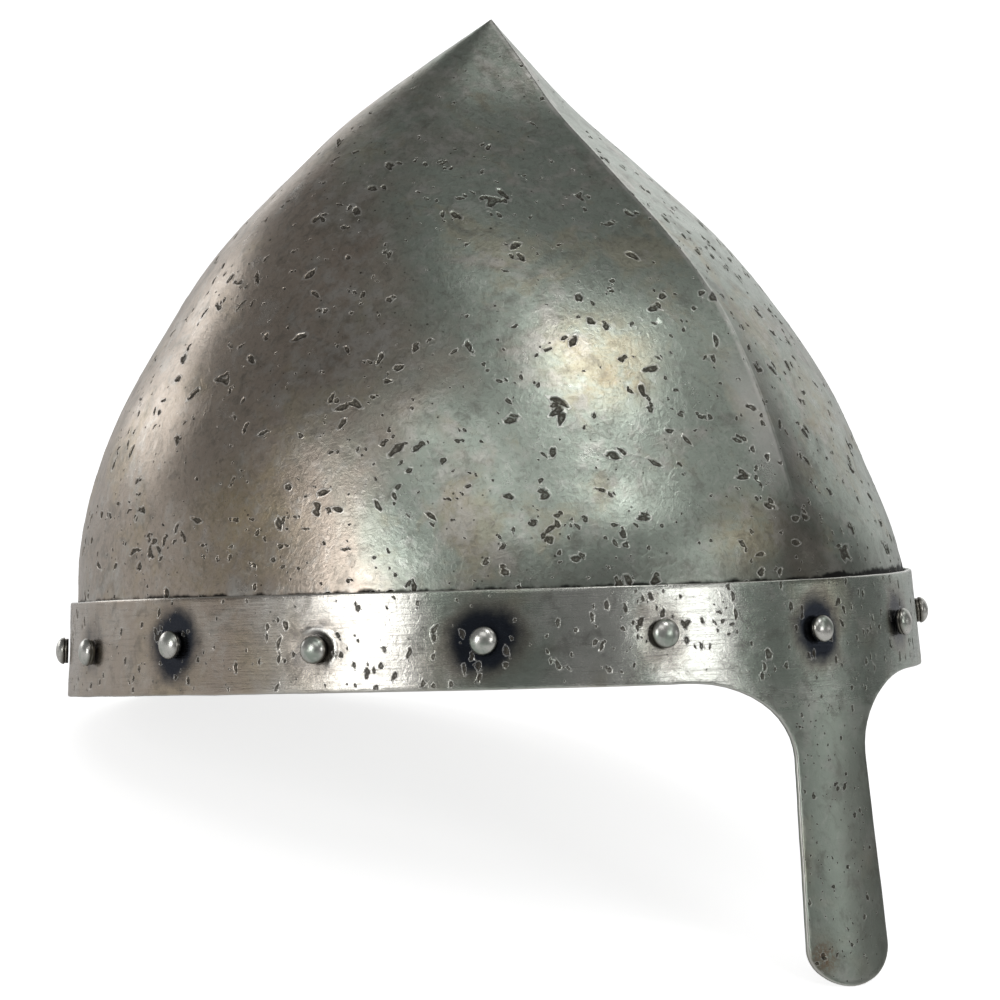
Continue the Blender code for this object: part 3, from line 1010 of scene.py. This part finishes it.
def rivet_tree():
    """Geometry Nodes that set one domed rivet on every point, turned to its outward arrow."""
    tree = bpy.data.node_groups.new("set_rivets", "GeometryNodeTree")
    tree.is_modifier = True
    face = tree.interface
    face.new_socket("Points", in_out="INPUT", socket_type="NodeSocketGeometry")
    for name, size in RIVET_SIZES.items():
        face.new_socket(name, in_out="INPUT", socket_type="NodeSocketFloat").default_value = size
    seed = face.new_socket("Seed", in_out="INPUT", socket_type="NodeSocketInt")
    seed.default_value = RIVET_SEED
    face.new_socket("Steel", in_out="INPUT", socket_type="NodeSocketMaterial")
    face.new_socket("Rivets", in_out="OUTPUT", socket_type="NodeSocketGeometry")

    bench = Bench(tree)
    node = bench.node
    outputs = tree.nodes.new("NodeGroupInput").outputs
    given = {socket.name: Line(bench, socket) for socket in outputs}
    radius = given["Head Radius"]

    ball = node(
        "GeometryNodeMeshUVSphere",
        {},
        {"Segments": HEAD_SEGMENTS, "Rings": HEAD_RINGS, "Radius": radius},
    )
    place = node("GeometryNodeInputPosition")
    x, y, height = (bench.part(place, axis) for axis in "XYZ")
    domed = node(
        "GeometryNodeStoreNamedAttribute",
        {"data_type": "FLOAT", "domain": "POINT"},
        {"Geometry": ball, "Name": "dome", "Value": height / radius},
    )
    above = height.maths("GREATER_THAN", height, 0.0)
    squash = above * (given["Head Rise"] / radius) + (1.0 - above) * (given["Brim"] / radius)
    middle = given["Neck Length"] + given["Brim"]
    flattened = bench.arrow(X=x, Y=y, Z=height * squash + middle)
    head = node("GeometryNodeSetPosition", {}, {"Geometry": domed, "Position": flattened})

    neck = node(
        "GeometryNodeMeshCylinder",
        {},
        {"Vertices": HEAD_SEGMENTS, "Radius": given["Neck Radius"], "Depth": middle},
    )
    neck = node(
        "GeometryNodeTransform", {}, {"Geometry": neck, "Translation": bench.arrow(Z=middle / 2.0)}
    )
    peen = node(
        "GeometryNodeMeshCone",
        {},
        {
            "Vertices": PEEN_SEGMENTS,
            "Radius Top": given["Peen Radius"],
            "Radius Bottom": given["Peen Radius"] * 0.7,
            "Depth": given["Peen Thickness"],
        },
    )
    peen = node(
        "GeometryNodeTransform",
        {},
        {
            "Geometry": peen,
            "Translation": bench.arrow(Z=given["Shank Length"] * -1.0),
            "Rotation": (math.pi, 0.0, 0.0),
        },
    )
    rivet = node("GeometryNodeJoinGeometry", {}, {0: [peen, neck, head]})

    outwards = node(
        "GeometryNodeInputNamedAttribute", {"data_type": "FLOAT_VECTOR"}, {"Name": "outward"}
    )
    aim = node("FunctionNodeAlignRotationToVector", {"axis": "Z"}, {"Vector": outwards})
    spin = node(
        "FunctionNodeRandomValue",
        {"data_type": "FLOAT"},
        {3: 2 * math.pi, "Seed": given["Seed"]},
        output=1,
    )
    turned = node(
        "FunctionNodeRotateRotation", {"rotation_space": "LOCAL"}, {0: aim, 1: bench.arrow(Z=spin)}
    )
    sizes = node(
        "FunctionNodeRandomValue",
        {"data_type": "FLOAT_VECTOR"},
        {0: SMALLEST_RIVET, 1: LARGEST_RIVET, "Seed": given["Seed"] + 3.0},
    )
    set_down = node(
        "GeometryNodeInstanceOnPoints",
        {},
        {"Points": given["Points"], "Instance": rivet, "Rotation": turned, "Scale": sizes},
    )
    real = node("GeometryNodeRealizeInstances", {}, {"Geometry": set_down})
    dents = node("ShaderNodeTexNoise", {}, {"Scale": DENT_PITCH, "Detail": 2.0})
    push = node(
        "ShaderNodeVectorMath",
        {"operation": "SCALE"},
        {"Vector": node("GeometryNodeInputNormal"), "Scale": (dents - DENT_LEVEL) * given["Dents"]},
    )
    dented = node("GeometryNodeSetPosition", {}, {"Geometry": real, "Offset": push})
    smooth = node("GeometryNodeSetShadeSmooth", {}, {"Geometry": dented})
    steel = node("GeometryNodeSetMaterial", {}, {"Geometry": smooth, "Material": given["Steel"]})
    node("NodeGroupOutput", {}, {0: steel})
    return tree


def rivets_piece(steel):
    """All rivets as one mesh, from Geometry Nodes on the points where they sit."""
    turns, heights = np.array([rivet_place(number) for number in range(RIVET_COUNT)]).T
    arrows = laid_back(outward(band_surface, turns, heights, RIVET_PROBE)) - np.array(LIFT)
    mesh = bpy.data.meshes.new("rivet_spots")
    mesh.from_pydata(laid_back(band_surface(turns, heights)).tolist(), [], [])
    layer = mesh.attributes.new("outward", "FLOAT_VECTOR", "POINT")
    layer.data.foreach_set("vector", arrows.astype(np.float32).ravel())
    holder = add_piece("rivet_spots", mesh)
    setter = holder.modifiers.new("set_rivets", "NODES")
    setter.node_group = rivet_tree()
    for item in setter.node_group.interface.items_tree:
        if item.item_type == "SOCKET" and item.in_out == "INPUT" and item.name == "Steel":
            setter[item.identifier] = steel
    graph = bpy.context.evaluated_depsgraph_get()
    made = bpy.data.meshes.new_from_object(holder.evaluated_get(graph))
    holder.modifiers.clear()
    bpy.data.objects.remove(holder, do_unlink=True)
    made.name = "rivets"
    return add_piece("rivets", made)


# ---------------------------------------------------------------- materials


class Paint(Bench):
    """A bench for one material."""

    def __init__(self, name):
        self.material = bpy.data.materials.new(name)
        self.material.use_nodes = True
        super().__init__(self.material.node_tree)
        self.tree.nodes.clear()

    def noise(self, where, size, detail=3.0, roughness=0.5, distortion=0.0):
        """Soft cloudy pattern from 0 to 1 with features of about the size, in metres."""
        return self.node(
            "ShaderNodeTexNoise",
            {},
            {
                "Vector": where,
                "Scale": 1 / size,
                "Detail": detail,
                "Roughness": roughness,
                "Distortion": distortion,
            },
        )

    def fade(self, value, low, high):
        """0 below low, 1 above high, eased between."""
        return self.node(
            "ShaderNodeMapRange",
            {"interpolation_type": "SMOOTHSTEP"},
            {0: value, 1: low, 2: high, 3: 0.0, 4: 1.0},
        )

    def between(self, value, low, full, last, high):
        """1 from full to last, easing to 0 at low and at high."""
        return self.fade(value, low, full) * (1 - self.fade(value, last, high))

    def blend(self, share, a, b):
        """Colour a, with colour b laid over it by the share."""
        return self.node("ShaderNodeMix", {"data_type": "RGBA"}, {0: share, 6: a, 7: b}, output=2)

    def lay(self, tone, *coats):
        """The tone with coats laid over it in turn, each by its share."""
        for share, coat in coats:
            tone = self.blend(share, tone, coat)
        return tone

    def mottled(self, tone, pattern, dark, bright):
        """The tone darkened where the pattern is high, and rubbed bright where it is low."""
        return self.lay(
            tone,
            (self.fade(pattern, 0.50, 0.68) * dark, BLACKENED_AND_SHADE),
            (self.fade(1 - pattern, 0.54, 0.70) * bright, BARE_STEEL_AND_HIGHLIGHT),
        )

    def mark(self, name):
        """A mark painted on the mesh's points."""
        return self.node("ShaderNodeAttribute", {"attribute_name": name}, output="Fac")

    def upright(self):
        """Object coordinates, set back upright so that height 0 is the band's lower edge."""
        return self.node(
            "ShaderNodeMapping",
            {"vector_type": "TEXTURE"},
            {
                "Vector": self.node("ShaderNodeTexCoord", output="Object"),
                "Location": LIFT,
                "Rotation": (-LEAN, 0.0, 0.0),
            },
        )

    def dots(self, where, spacing, radius):
        """1 in small round dots, one for each cell of about the spacing."""
        cell = self.node("ShaderNodeTexVoronoi", {}, {"Vector": where, "Scale": 1 / spacing})
        return 1 - self.fade(cell, radius / spacing * 0.7, radius / spacing * 1.2)

    def spot(self, where, centre, radius):
        """1 at the centre, fading to 0 at the radius."""
        apart = self.node(
            "ShaderNodeVectorMath", {"operation": "DISTANCE"}, {0: where, 1: centre}, output="Value"
        )
        return 1 - self.fade(apart, radius * 0.3, radius)

    def bump(self, height, strength, distance, below=None):
        inputs = {"Height": height, "Strength": strength, "Distance": distance}
        if below:
            inputs["Normal"] = below
        return self.node("ShaderNodeBump", {}, inputs)

    def finish(self, tone, rough, normal):
        shader = self.node(
            "ShaderNodeBsdfPrincipled",
            {},
            {"Base Color": tone, "Roughness": rough, "Metallic": 1.0, "Normal": normal},
        )
        self.node("ShaderNodeOutputMaterial", {}, {"Surface": shader})
        return self.material


def colour(red, green, blue):
    return (red, green, blue, 1.0)


# The bare steel tone also serves for painted highlights, and the blackened and the pit grey tones
# also for painted shade
WARM_STEEL = colour(0.478, 0.408, 0.342)
GREEN_STEEL = colour(0.382, 0.432, 0.374)
BROWN_TARNISH = colour(0.305, 0.258, 0.208)
BLACKENED_AND_SHADE = colour(0.165, 0.160, 0.140)
BARE_STEEL_AND_HIGHLIGHT = colour(0.68, 0.67, 0.63)
STRAW_STAIN = colour(0.520, 0.425, 0.270)
HEAT_BLUE = colour(0.026, 0.032, 0.046)
PIT_DARK = colour(0.036, 0.034, 0.028)
CREVICE_DARK = colour(0.012, 0.012, 0.012)
PIT_GREY_AND_SHADE = colour(0.135, 0.122, 0.100)
RUST = colour(0.240, 0.130, 0.065)
FLOOR_GREY = colour(0.85, 0.85, 0.85)
WHITE = colour(1.0, 1.0, 1.0)

# Which way "forward" runs on the upright helmet, from the nape's right to the brow's left
FORWARD_X, FORWARD_Y = 0.72, -0.69

# Yellow-brown stains on the skull: middle on the upright helmet, and radius
STAINS = (
    ((-0.104, -0.015, 0.043), 0.026),
    ((-0.035, -0.077, 0.080), 0.020),
    ((-0.017, -0.111, 0.036), 0.017),
    ((0.037, -0.094, 0.072), 0.022),
    ((-0.100, 0.018, 0.085), 0.018),
)

# Half width of the painted highlight along the ridge, and of the wedge of painted shade at its foot
RIDGE_HIGHLIGHT = 0.0013
RIDGE_FOOT = 0.011

# Stretches of the band, counted forward, that get a painted highlight of bare steel
HIGHLIGHT_STRETCHES = ((-0.058, -0.020), (0.014, 0.032), (0.038, 0.056))

# Rust near the nasal's tip: middle on the upright helmet, and radius
RUST_SPOT = ((-0.0082, -0.1145, -0.0690), 0.0075)

# How much the floor glows, as light on the helmet and as the camera sees it
FLOOR_LIGHT, FLOOR_SEEN = 0.10, 0.80


def pitted(bench, tone, rough):
    """Tone, roughness and height with the pits in them: dark floors, and a thin ring of painted
    highlight on each rim.
    """
    away = bench.mark("pit")
    grain = bench.noise(bench.upright(), 0.0005, 2.0, 0.6)
    edge = away + (grain - 0.5) * 0.22
    floor = 1 - bench.fade(edge, 0.70, 0.90)
    # Painted highlight: a thin bright ring round each pit's lip
    rim = bench.between(edge, 0.90, 1.02, 1.08, 1.24)
    bottom = (1 - bench.fade(away, 0.20, 0.62)) * bench.fade(grain, 0.38, 0.62)
    tone = bench.lay(
        tone,
        (rim * 0.60, BARE_STEEL_AND_HIGHLIGHT),
        (floor * (0.92 - bottom * 0.45), bench.blend(grain, PIT_DARK, PIT_GREY_AND_SHADE)),
    )
    return tone, rough + floor * 0.25, bench.fade(away, 0.62, 0.98) + rim * 0.15


def worn_skull():
    """Darkened steel sheet: brown towards the nape, grey-green towards the brow, pitted, with
    painted shade towards the top, at the foot and beside the ridge, and painted highlights on the
    ridge and a facet beside it.
    """
    bench = Paint("worn_skull_steel")
    fade = bench.fade
    place = bench.upright()
    x, y, z = (bench.part(place, axis) for axis in "XYZ")
    forward = x * FORWARD_X + y * FORWARD_Y
    above = z - (x * x - y * y) * (BAND_WARP / SIDE_REACH**2) - BAND_HEIGHT
    clouds = bench.noise(place, 0.055, 4.0, 0.55, 0.4)
    drifts = bench.noise(place, 0.034, 5.0, 0.62, 0.8)
    patches = bench.noise(place, 0.016, 5.0, 0.65, 0.6)
    blotches = bench.noise(place, 0.0075, 5.0, 0.68, 0.5)
    streaks = bench.noise(place, 0.0045, 4.0, 0.6)
    scale = bench.noise(place, 0.0019, 4.0, 0.60, 1.2)
    speckle = bench.noise(place, 0.0009, 4.0, 0.65, 1.0)

    greenish = fade(forward + (clouds - 0.5) * 0.12 + (patches - 0.5) * 0.04, -0.045, -0.010)
    browned = fade(drifts + (streaks - 0.5) * 0.15, 0.50, 0.68) * 0.60
    stained = fade(patches + (clouds - 0.5) * 0.7, 0.54, 0.70) * 0.35
    for centre, radius in STAINS:
        stained = stained + bench.spot(place, centre, radius) * fade(blotches, 0.30, 0.60) * 0.6
    tone = bench.lay(
        WARM_STEEL, (greenish, GREEN_STEEL), (browned, BROWN_TARNISH), (stained, STRAW_STAIN)
    )
    tone = bench.mottled(tone, blotches, 0.45, 0.30)
    # Painted shade: the skull darker towards its top, with tarnish in random patches
    top_shade_and_tarnish = fade(z + (patches - 0.5) * 0.09, 0.110, 0.190) * 0.24
    top_shade_and_tarnish = top_shade_and_tarnish + fade(patches * 0.5 + streaks * 0.5, 0.53, 0.66) * 0.30
    cleaned = fade(streaks * 0.5 + drifts * 0.5, 0.50, 0.64) * 0.45
    tone = bench.lay(tone, (top_shade_and_tarnish, BLACKENED_AND_SHADE), (cleaned, BARE_STEEL_AND_HIGHLIGHT))
    tone = bench.mottled(tone, scale, 0.32, 0.22)

    pores = bench.dots(place, 0.0030, 0.00026) * fade(drifts, 0.44, 0.58)
    pores = pores + bench.dots(place, 0.0047, 0.00034) * fade(patches, 0.46, 0.56)
    # Painted highlight along the ridge line, broken up by streaks
    ridge = (1 - fade(x * x, RIDGE_HIGHLIGHT**2 / 5, RIDGE_HIGHLIGHT**2)) * fade(above, 0.016, 0.030)
    # Painted shade in a wedge on both sides of the ridge at its foot
    foot = (1 - fade(x * x, 0.0, RIDGE_FOOT**2)) * (1 - fade(above, 0.002, 0.032))
    # Painted shade on the flank beside the ridge, on the wearer's left
    hollow_shade = bench.between(x, 0.0004, 0.0012, 0.003, 0.014)
    hollow_shade = hollow_shade * bench.between(above, 0.014, 0.030, 0.045, 0.085)
    # Painted highlight on a facet beside the ridge, on the wearer's right
    facet_highlight = bench.between(x, -0.011, -0.003, -0.0006, 0.0002)
    facet_highlight = facet_highlight * bench.between(above, 0.018, 0.032, 0.044, 0.062)
    # Painted shade on the skull's foot just above the band, on the side towards the brow's left
    shade = 1 - fade(above + (patches - 0.5) * 0.01, 0.0005, 0.0100)
    shade = shade * fade(forward, -0.030, -0.010)
    grime = fade(forward, 0.076, 0.086) * (patches * 0.0060 - 0.0016)
    hem_dirt = 1 - fade(above + (streaks - 0.5) * 0.003 - grime, -0.0003, 0.0008)
    tone = bench.lay(
        tone,
        (fade(speckle, 0.58, 0.70) * 0.45, BLACKENED_AND_SHADE),
        (pores * 0.8, PIT_DARK),
        (ridge * fade(streaks, 0.30, 0.55) * 0.55, BARE_STEEL_AND_HIGHLIGHT),
        (foot * 0.85, PIT_GREY_AND_SHADE),
        (hollow_shade * 0.65, BLACKENED_AND_SHADE),
        (facet_highlight * 0.60, BARE_STEEL_AND_HIGHLIGHT),
        (shade * 0.38, BLACKENED_AND_SHADE),
        (hem_dirt * 0.95, CREVICE_DARK),
    )

    rough = 0.31 + hem_dirt * 0.3 + (patches - 0.5) * 0.15 + (speckle - 0.5) * 0.10
    rough = rough + top_shade_and_tarnish * 0.10 + (blotches - 0.5) * 0.12
    tone, rough, height = pitted(bench, tone, rough)
    fine = bench.bump(speckle, 0.12, 0.00012)
    soft = bench.bump(scale * 0.6 + streaks * 0.8, 0.22, 0.00042, fine)
    return bench.finish(tone, rough, bench.bump(height, 0.50, 0.00030, soft))


def worn_band():
    """Band steel: brushed along its length, with heat bloom round each rivet, painted highlights on
    stretches of the band and painted shade on one half of the nasal.
    """
    bench = Paint("worn_band_steel")
    fade = bench.fade
    place = bench.upright()
    x, y, z = (bench.part(place, axis) for axis in "XYZ")
    forward = x * FORWARD_X + y * FORWARD_Y
    clouds = bench.noise(place, 0.045, 4.0, 0.55, 0.3)
    patches = bench.noise(place, 0.014, 5.0, 0.65, 0.5)
    blotches = bench.noise(place, 0.0070, 5.0, 0.68, 0.5)
    scale = bench.noise(place, 0.0020, 4.0, 0.60, 1.0)
    speckle = bench.noise(place, 0.0009, 4.0, 0.65, 1.0)
    flattened = bench.node("ShaderNodeMapping", {}, {"Vector": place, "Scale": (1.0, 1.0, 18.0)})
    brushed = bench.noise(flattened, 0.011, 4.0, 0.7)

    greenish = fade(forward + (clouds - 0.5) * 0.10, -0.045, -0.005)
    tone = bench.blend(greenish, WARM_STEEL, GREEN_STEEL)
    drift = forward + (patches - 0.5) * 0.012
    # Painted highlights: bright bare steel laid on these stretches of the band
    for first, last in HIGHLIGHT_STRETCHES:
        rubbed = bench.between(drift, first - 0.008, first + 0.006, last - 0.003, last + 0.005)
        tone = bench.blend(rubbed * 0.65, tone, BARE_STEEL_AND_HIGHLIGHT)
    tone = bench.lay(
        tone,
        (fade(patches, 0.48, 0.66) * 0.35, BARE_STEEL_AND_HIGHLIGHT),
        (fade(clouds, 0.54, 0.70) * 0.5, STRAW_STAIN),
    )
    tone = bench.mottled(tone, blotches, 0.45, 0.25)

    along = fade(z, -0.016, -0.002)
    pores = bench.dots(place, 0.0034, 0.00026) * fade(patches + (1 - along) * 0.12, 0.44, 0.56)
    # Painted shade on the wearer's left half of the nasal, towards its tip
    shaded = fade(x + (patches - 0.5) * 0.010, -0.003, 0.006) * (1 - fade(z, -0.030, -0.004))
    rusty = bench.spot(place, *RUST_SPOT) * fade(speckle, 0.30, 0.60)
    bloom = bench.mark("bloom")
    uneven = bloom + (patches - 0.5) * 0.7 * fade(bloom, 0.0, 0.3) + (blotches - 0.5) * 0.3
    tone = bench.lay(
        tone,
        (fade(brushed, 0.50, 0.72) * along * 0.35, BLACKENED_AND_SHADE),
        (fade(speckle, 0.60, 0.72) * 0.40, BLACKENED_AND_SHADE),
        (pores * 0.8, PIT_DARK),
        (shaded * 0.45, BLACKENED_AND_SHADE),
        (rusty * 0.9, RUST),
        (fade(uneven, 0.10, 0.40) * 0.5, BROWN_TARNISH),
        (fade(uneven, 0.20, 0.70) * 0.97, HEAT_BLUE),
        (bench.mark("burnish") * 0.8, BARE_STEEL_AND_HIGHLIGHT),
    )

    rough = 0.25 + (patches - 0.5) * 0.16 + (brushed - 0.5) * along * 0.16 + (1 - along) * 0.06
    tone, rough, height = pitted(bench, tone, rough)
    fine = bench.bump(speckle, 0.14, 0.00012)
    lines = bench.bump(brushed * along + scale * 0.8, 0.22, 0.00028, fine)
    return bench.finish(tone, rough, bench.bump(height, 0.50, 0.00025, lines))


def rubbed_rivets():
    """Rivet steel: bright on the domes and dark in the scratches, with painted shade down the
    sides.
    """
    bench = Paint("rubbed_rivet_steel")
    place = bench.upright()
    clouds = bench.noise(place, 0.006, 4.0, 0.6, 0.4)
    speckle = bench.noise(place, 0.0008, 3.0, 0.6)
    # Painted shade: darker down the sides of the heads, under them and on necks and peens
    side = 1 - bench.fade(bench.mark("dome"), 0.02, 0.55)
    tone = bench.lay(
        BARE_STEEL_AND_HIGHLIGHT,
        (bench.fade(clouds, 0.42, 0.66), GREEN_STEEL),
        (bench.fade(speckle, 0.62, 0.74) * 0.5, BLACKENED_AND_SHADE),
        (side * 0.85, PIT_GREY_AND_SHADE),
    )
    rough = 0.29 + (clouds - 0.5) * 0.16 + (speckle - 0.5) * 0.10
    return bench.finish(tone, rough, bench.bump(speckle, 0.20, 0.0001))


def pale_floor():
    """Matt pale floor that shows as bright as the backdrop and lights the helmet softly."""
    bench = Paint("pale_floor")
    lit, seen = (
        bench.node(
            "ShaderNodeBsdfPrincipled",
            {},
            {
                "Base Color": FLOOR_GREY,
                "Roughness": 0.8,
                "Specular IOR Level": 0.1,
                "Emission Color": WHITE,
                "Emission Strength": glow,
            },
        )
        for glow in (FLOOR_LIGHT, FLOOR_SEEN)
    )
    ahead = bench.node("ShaderNodeLightPath", output="Is Camera Ray")
    shader = bench.node("ShaderNodeMixShader", {}, {0: ahead, 1: lit, 2: seen})
    bench.node("ShaderNodeOutputMaterial", {}, {"Surface": shader})
    return bench.material


# ---------------------------------------------------------------- studio

# Camera, measured about the upright helmet: azimuth from the face towards the
# wearer's left, elevation above the rim's plane, roll, distance to the axis, how far
# it looks up from there, and its focal length in picture widths
CAMERA_AZIMUTH = math.radians(-43.948)
CAMERA_ELEVATION = math.radians(1.402)
CAMERA_ROLL = math.radians(-2.439)
CAMERA_DISTANCE = 1.5723
CAMERA_NOD = math.radians(1.689)
CAMERA_FOCUS = 6.0947
SENSOR = 36.0


def seen_from(azimuth, elevation):
    """Unit vector from the upright helmet towards an azimuth and an elevation."""
    level = math.cos(elevation)
    return Vector((math.sin(azimuth) * level, -math.cos(azimuth) * level, math.sin(elevation)))


def turned_by(angle, a, b):
    """Two axes turned about the one that is square to both."""
    c, s = math.cos(angle), math.sin(angle)
    return c * a + s * b, c * b - s * a


def camera_axes():
    """Right, up and back of the camera, in the upright helmet's frame."""
    back = seen_from(CAMERA_AZIMUTH, CAMERA_ELEVATION)
    right = Vector((0, 0, 1)).cross(back).normalized()
    right, up = turned_by(CAMERA_ROLL, right, back.cross(right))
    return right, up, back


def add_camera():
    """The camera stands where the photograph's did, about the helmet as it rests."""
    right, up, back = camera_axes()
    place = back * CAMERA_DISTANCE
    up, back = turned_by(CAMERA_NOD, up, back)
    turned = Euler((-LEAN, 0.0, 0.0)).to_matrix()
    data = bpy.data.cameras.new("camera")
    data.sensor_width = SENSOR
    data.lens = SENSOR * CAMERA_FOCUS
    data.clip_end = 100.0
    item = bpy.data.objects.new("camera", data)
    bpy.context.scene.collection.objects.link(item)
    axes = Matrix((turned @ right, turned @ up, turned @ back)).transposed()
    item.matrix_world = Matrix.Translation(turned @ place + Vector(LIFT)) @ axes.to_4x4()
    bpy.context.scene.camera = item


def add_floor():
    """A wide pale floor, which isn't part of the helmet."""
    bpy.ops.mesh.primitive_plane_add(size=FLOOR_WIDTH)
    floor = bpy.context.object
    floor.name = "floor"
    floor.data.materials.append(pale_floor())


# Softboxes: where each stands as seen from the upright helmet (azimuth from the
# camera's, elevation, distance), its width and height, and its radiance
Softbox = namedtuple("Softbox", "name azimuth elevation distance size radiance")
SOFTBOXES = (
    Softbox("low_left", -41, 10, 1.5, (0.48, 0.64), 4.1),
    Softbox("low_right", 41, 3, 1.5, (0.46, 0.40), 3.4),
    Softbox("high_right", 35, 52, 1.5, (0.36, 0.42), 4.4),
    Softbox("over_camera", -8, 38, 1.5, (0.90, 0.50), 1.10),
    Softbox("overhead", 30, 70, 1.6, (0.70, 0.50), 0.60),
    Softbox("right_fill", 54, 22, 1.5, (0.40, 0.50), 0.9),
    Softbox("right_low", 88, 0, 1.5, (0.50, 0.26), 0.85),
    Softbox("right_high", 88, 44, 1.5, (0.60, 0.46), 0.95),
    Softbox("back_left", -130, 11, 1.5, (0.85, 1.00), 1.80),
    Softbox("behind", 180, 32, 3.2, (2.60, 2.40), 0.8),
    Softbox("back_right", 142, 22, 3.0, (1.60, 2.40), 0.54),
)

# How bright the room is, as light on the helmet and as the camera sees it
ROOM_LIGHT = 0.18
BACKDROP = 1.0
FLOOR_WIDTH = 60.0


def add_softbox(box):
    """A soft rectangular light that looks at the helmet's middle; it shows only as light."""
    away = seen_from(CAMERA_AZIMUTH + math.radians(box.azimuth), math.radians(box.elevation))
    turned = Euler((-LEAN, 0.0, 0.0)).to_matrix()
    target = turned @ Vector((0.0, 0.0, SKULL_RISE / 2)) + Vector(LIFT)
    data = bpy.data.lights.new(box.name, "AREA")
    data.shape = "RECTANGLE"
    data.size, data.size_y = box.size
    data.energy = box.radiance * math.pi * box.size[0] * box.size[1]
    item = bpy.data.objects.new(box.name, data)
    bpy.context.scene.collection.objects.link(item)
    item.location = target + turned @ away * box.distance
    item.rotation_euler = (turned @ away).to_track_quat("Z", "Y").to_euler()
    item.visible_camera = False


def add_room():
    """Low even light from all round; straight ahead it shows as a plain pale backdrop."""
    world = bpy.data.worlds.new("studio")
    world.use_nodes = True
    bench = Bench(world.node_tree)
    bench.tree.nodes.clear()
    seen = bench.node("ShaderNodeLightPath", output="Is Camera Ray")
    strength = seen * (BACKDROP - ROOM_LIGHT) + ROOM_LIGHT
    light = bench.node("ShaderNodeBackground", {}, {"Color": WHITE, "Strength": strength})
    bench.node("ShaderNodeOutputWorld", {}, {"Surface": light})
    bpy.context.scene.world = world


def main():
    """Make the pieces, bind them to the frame's body, and set up the studio."""
    skull = skull_piece()
    band = band_piece()
    skull.data.materials.append(worn_skull())
    band.data.materials.append(worn_band())
    rivets = rivets_piece(rubbed_rivets())

    rivet_nodes = [f"rivet_{number + 1:02d}" for number in range(RIVET_COUNT)]
    for piece, slot, nodes in (
        (skull, "skull", ["skull"]),
        (band, "brow_band", ["brow_band"]),
        (rivets, "rivet", rivet_nodes),
    ):
        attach(piece, "root")
        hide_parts(*nodes)

    add_floor()
    add_room()
    for box in SOFTBOXES:
        add_softbox(box)
    add_camera()
    bpy.context.scene.view_settings.view_transform = "Standard"


main()
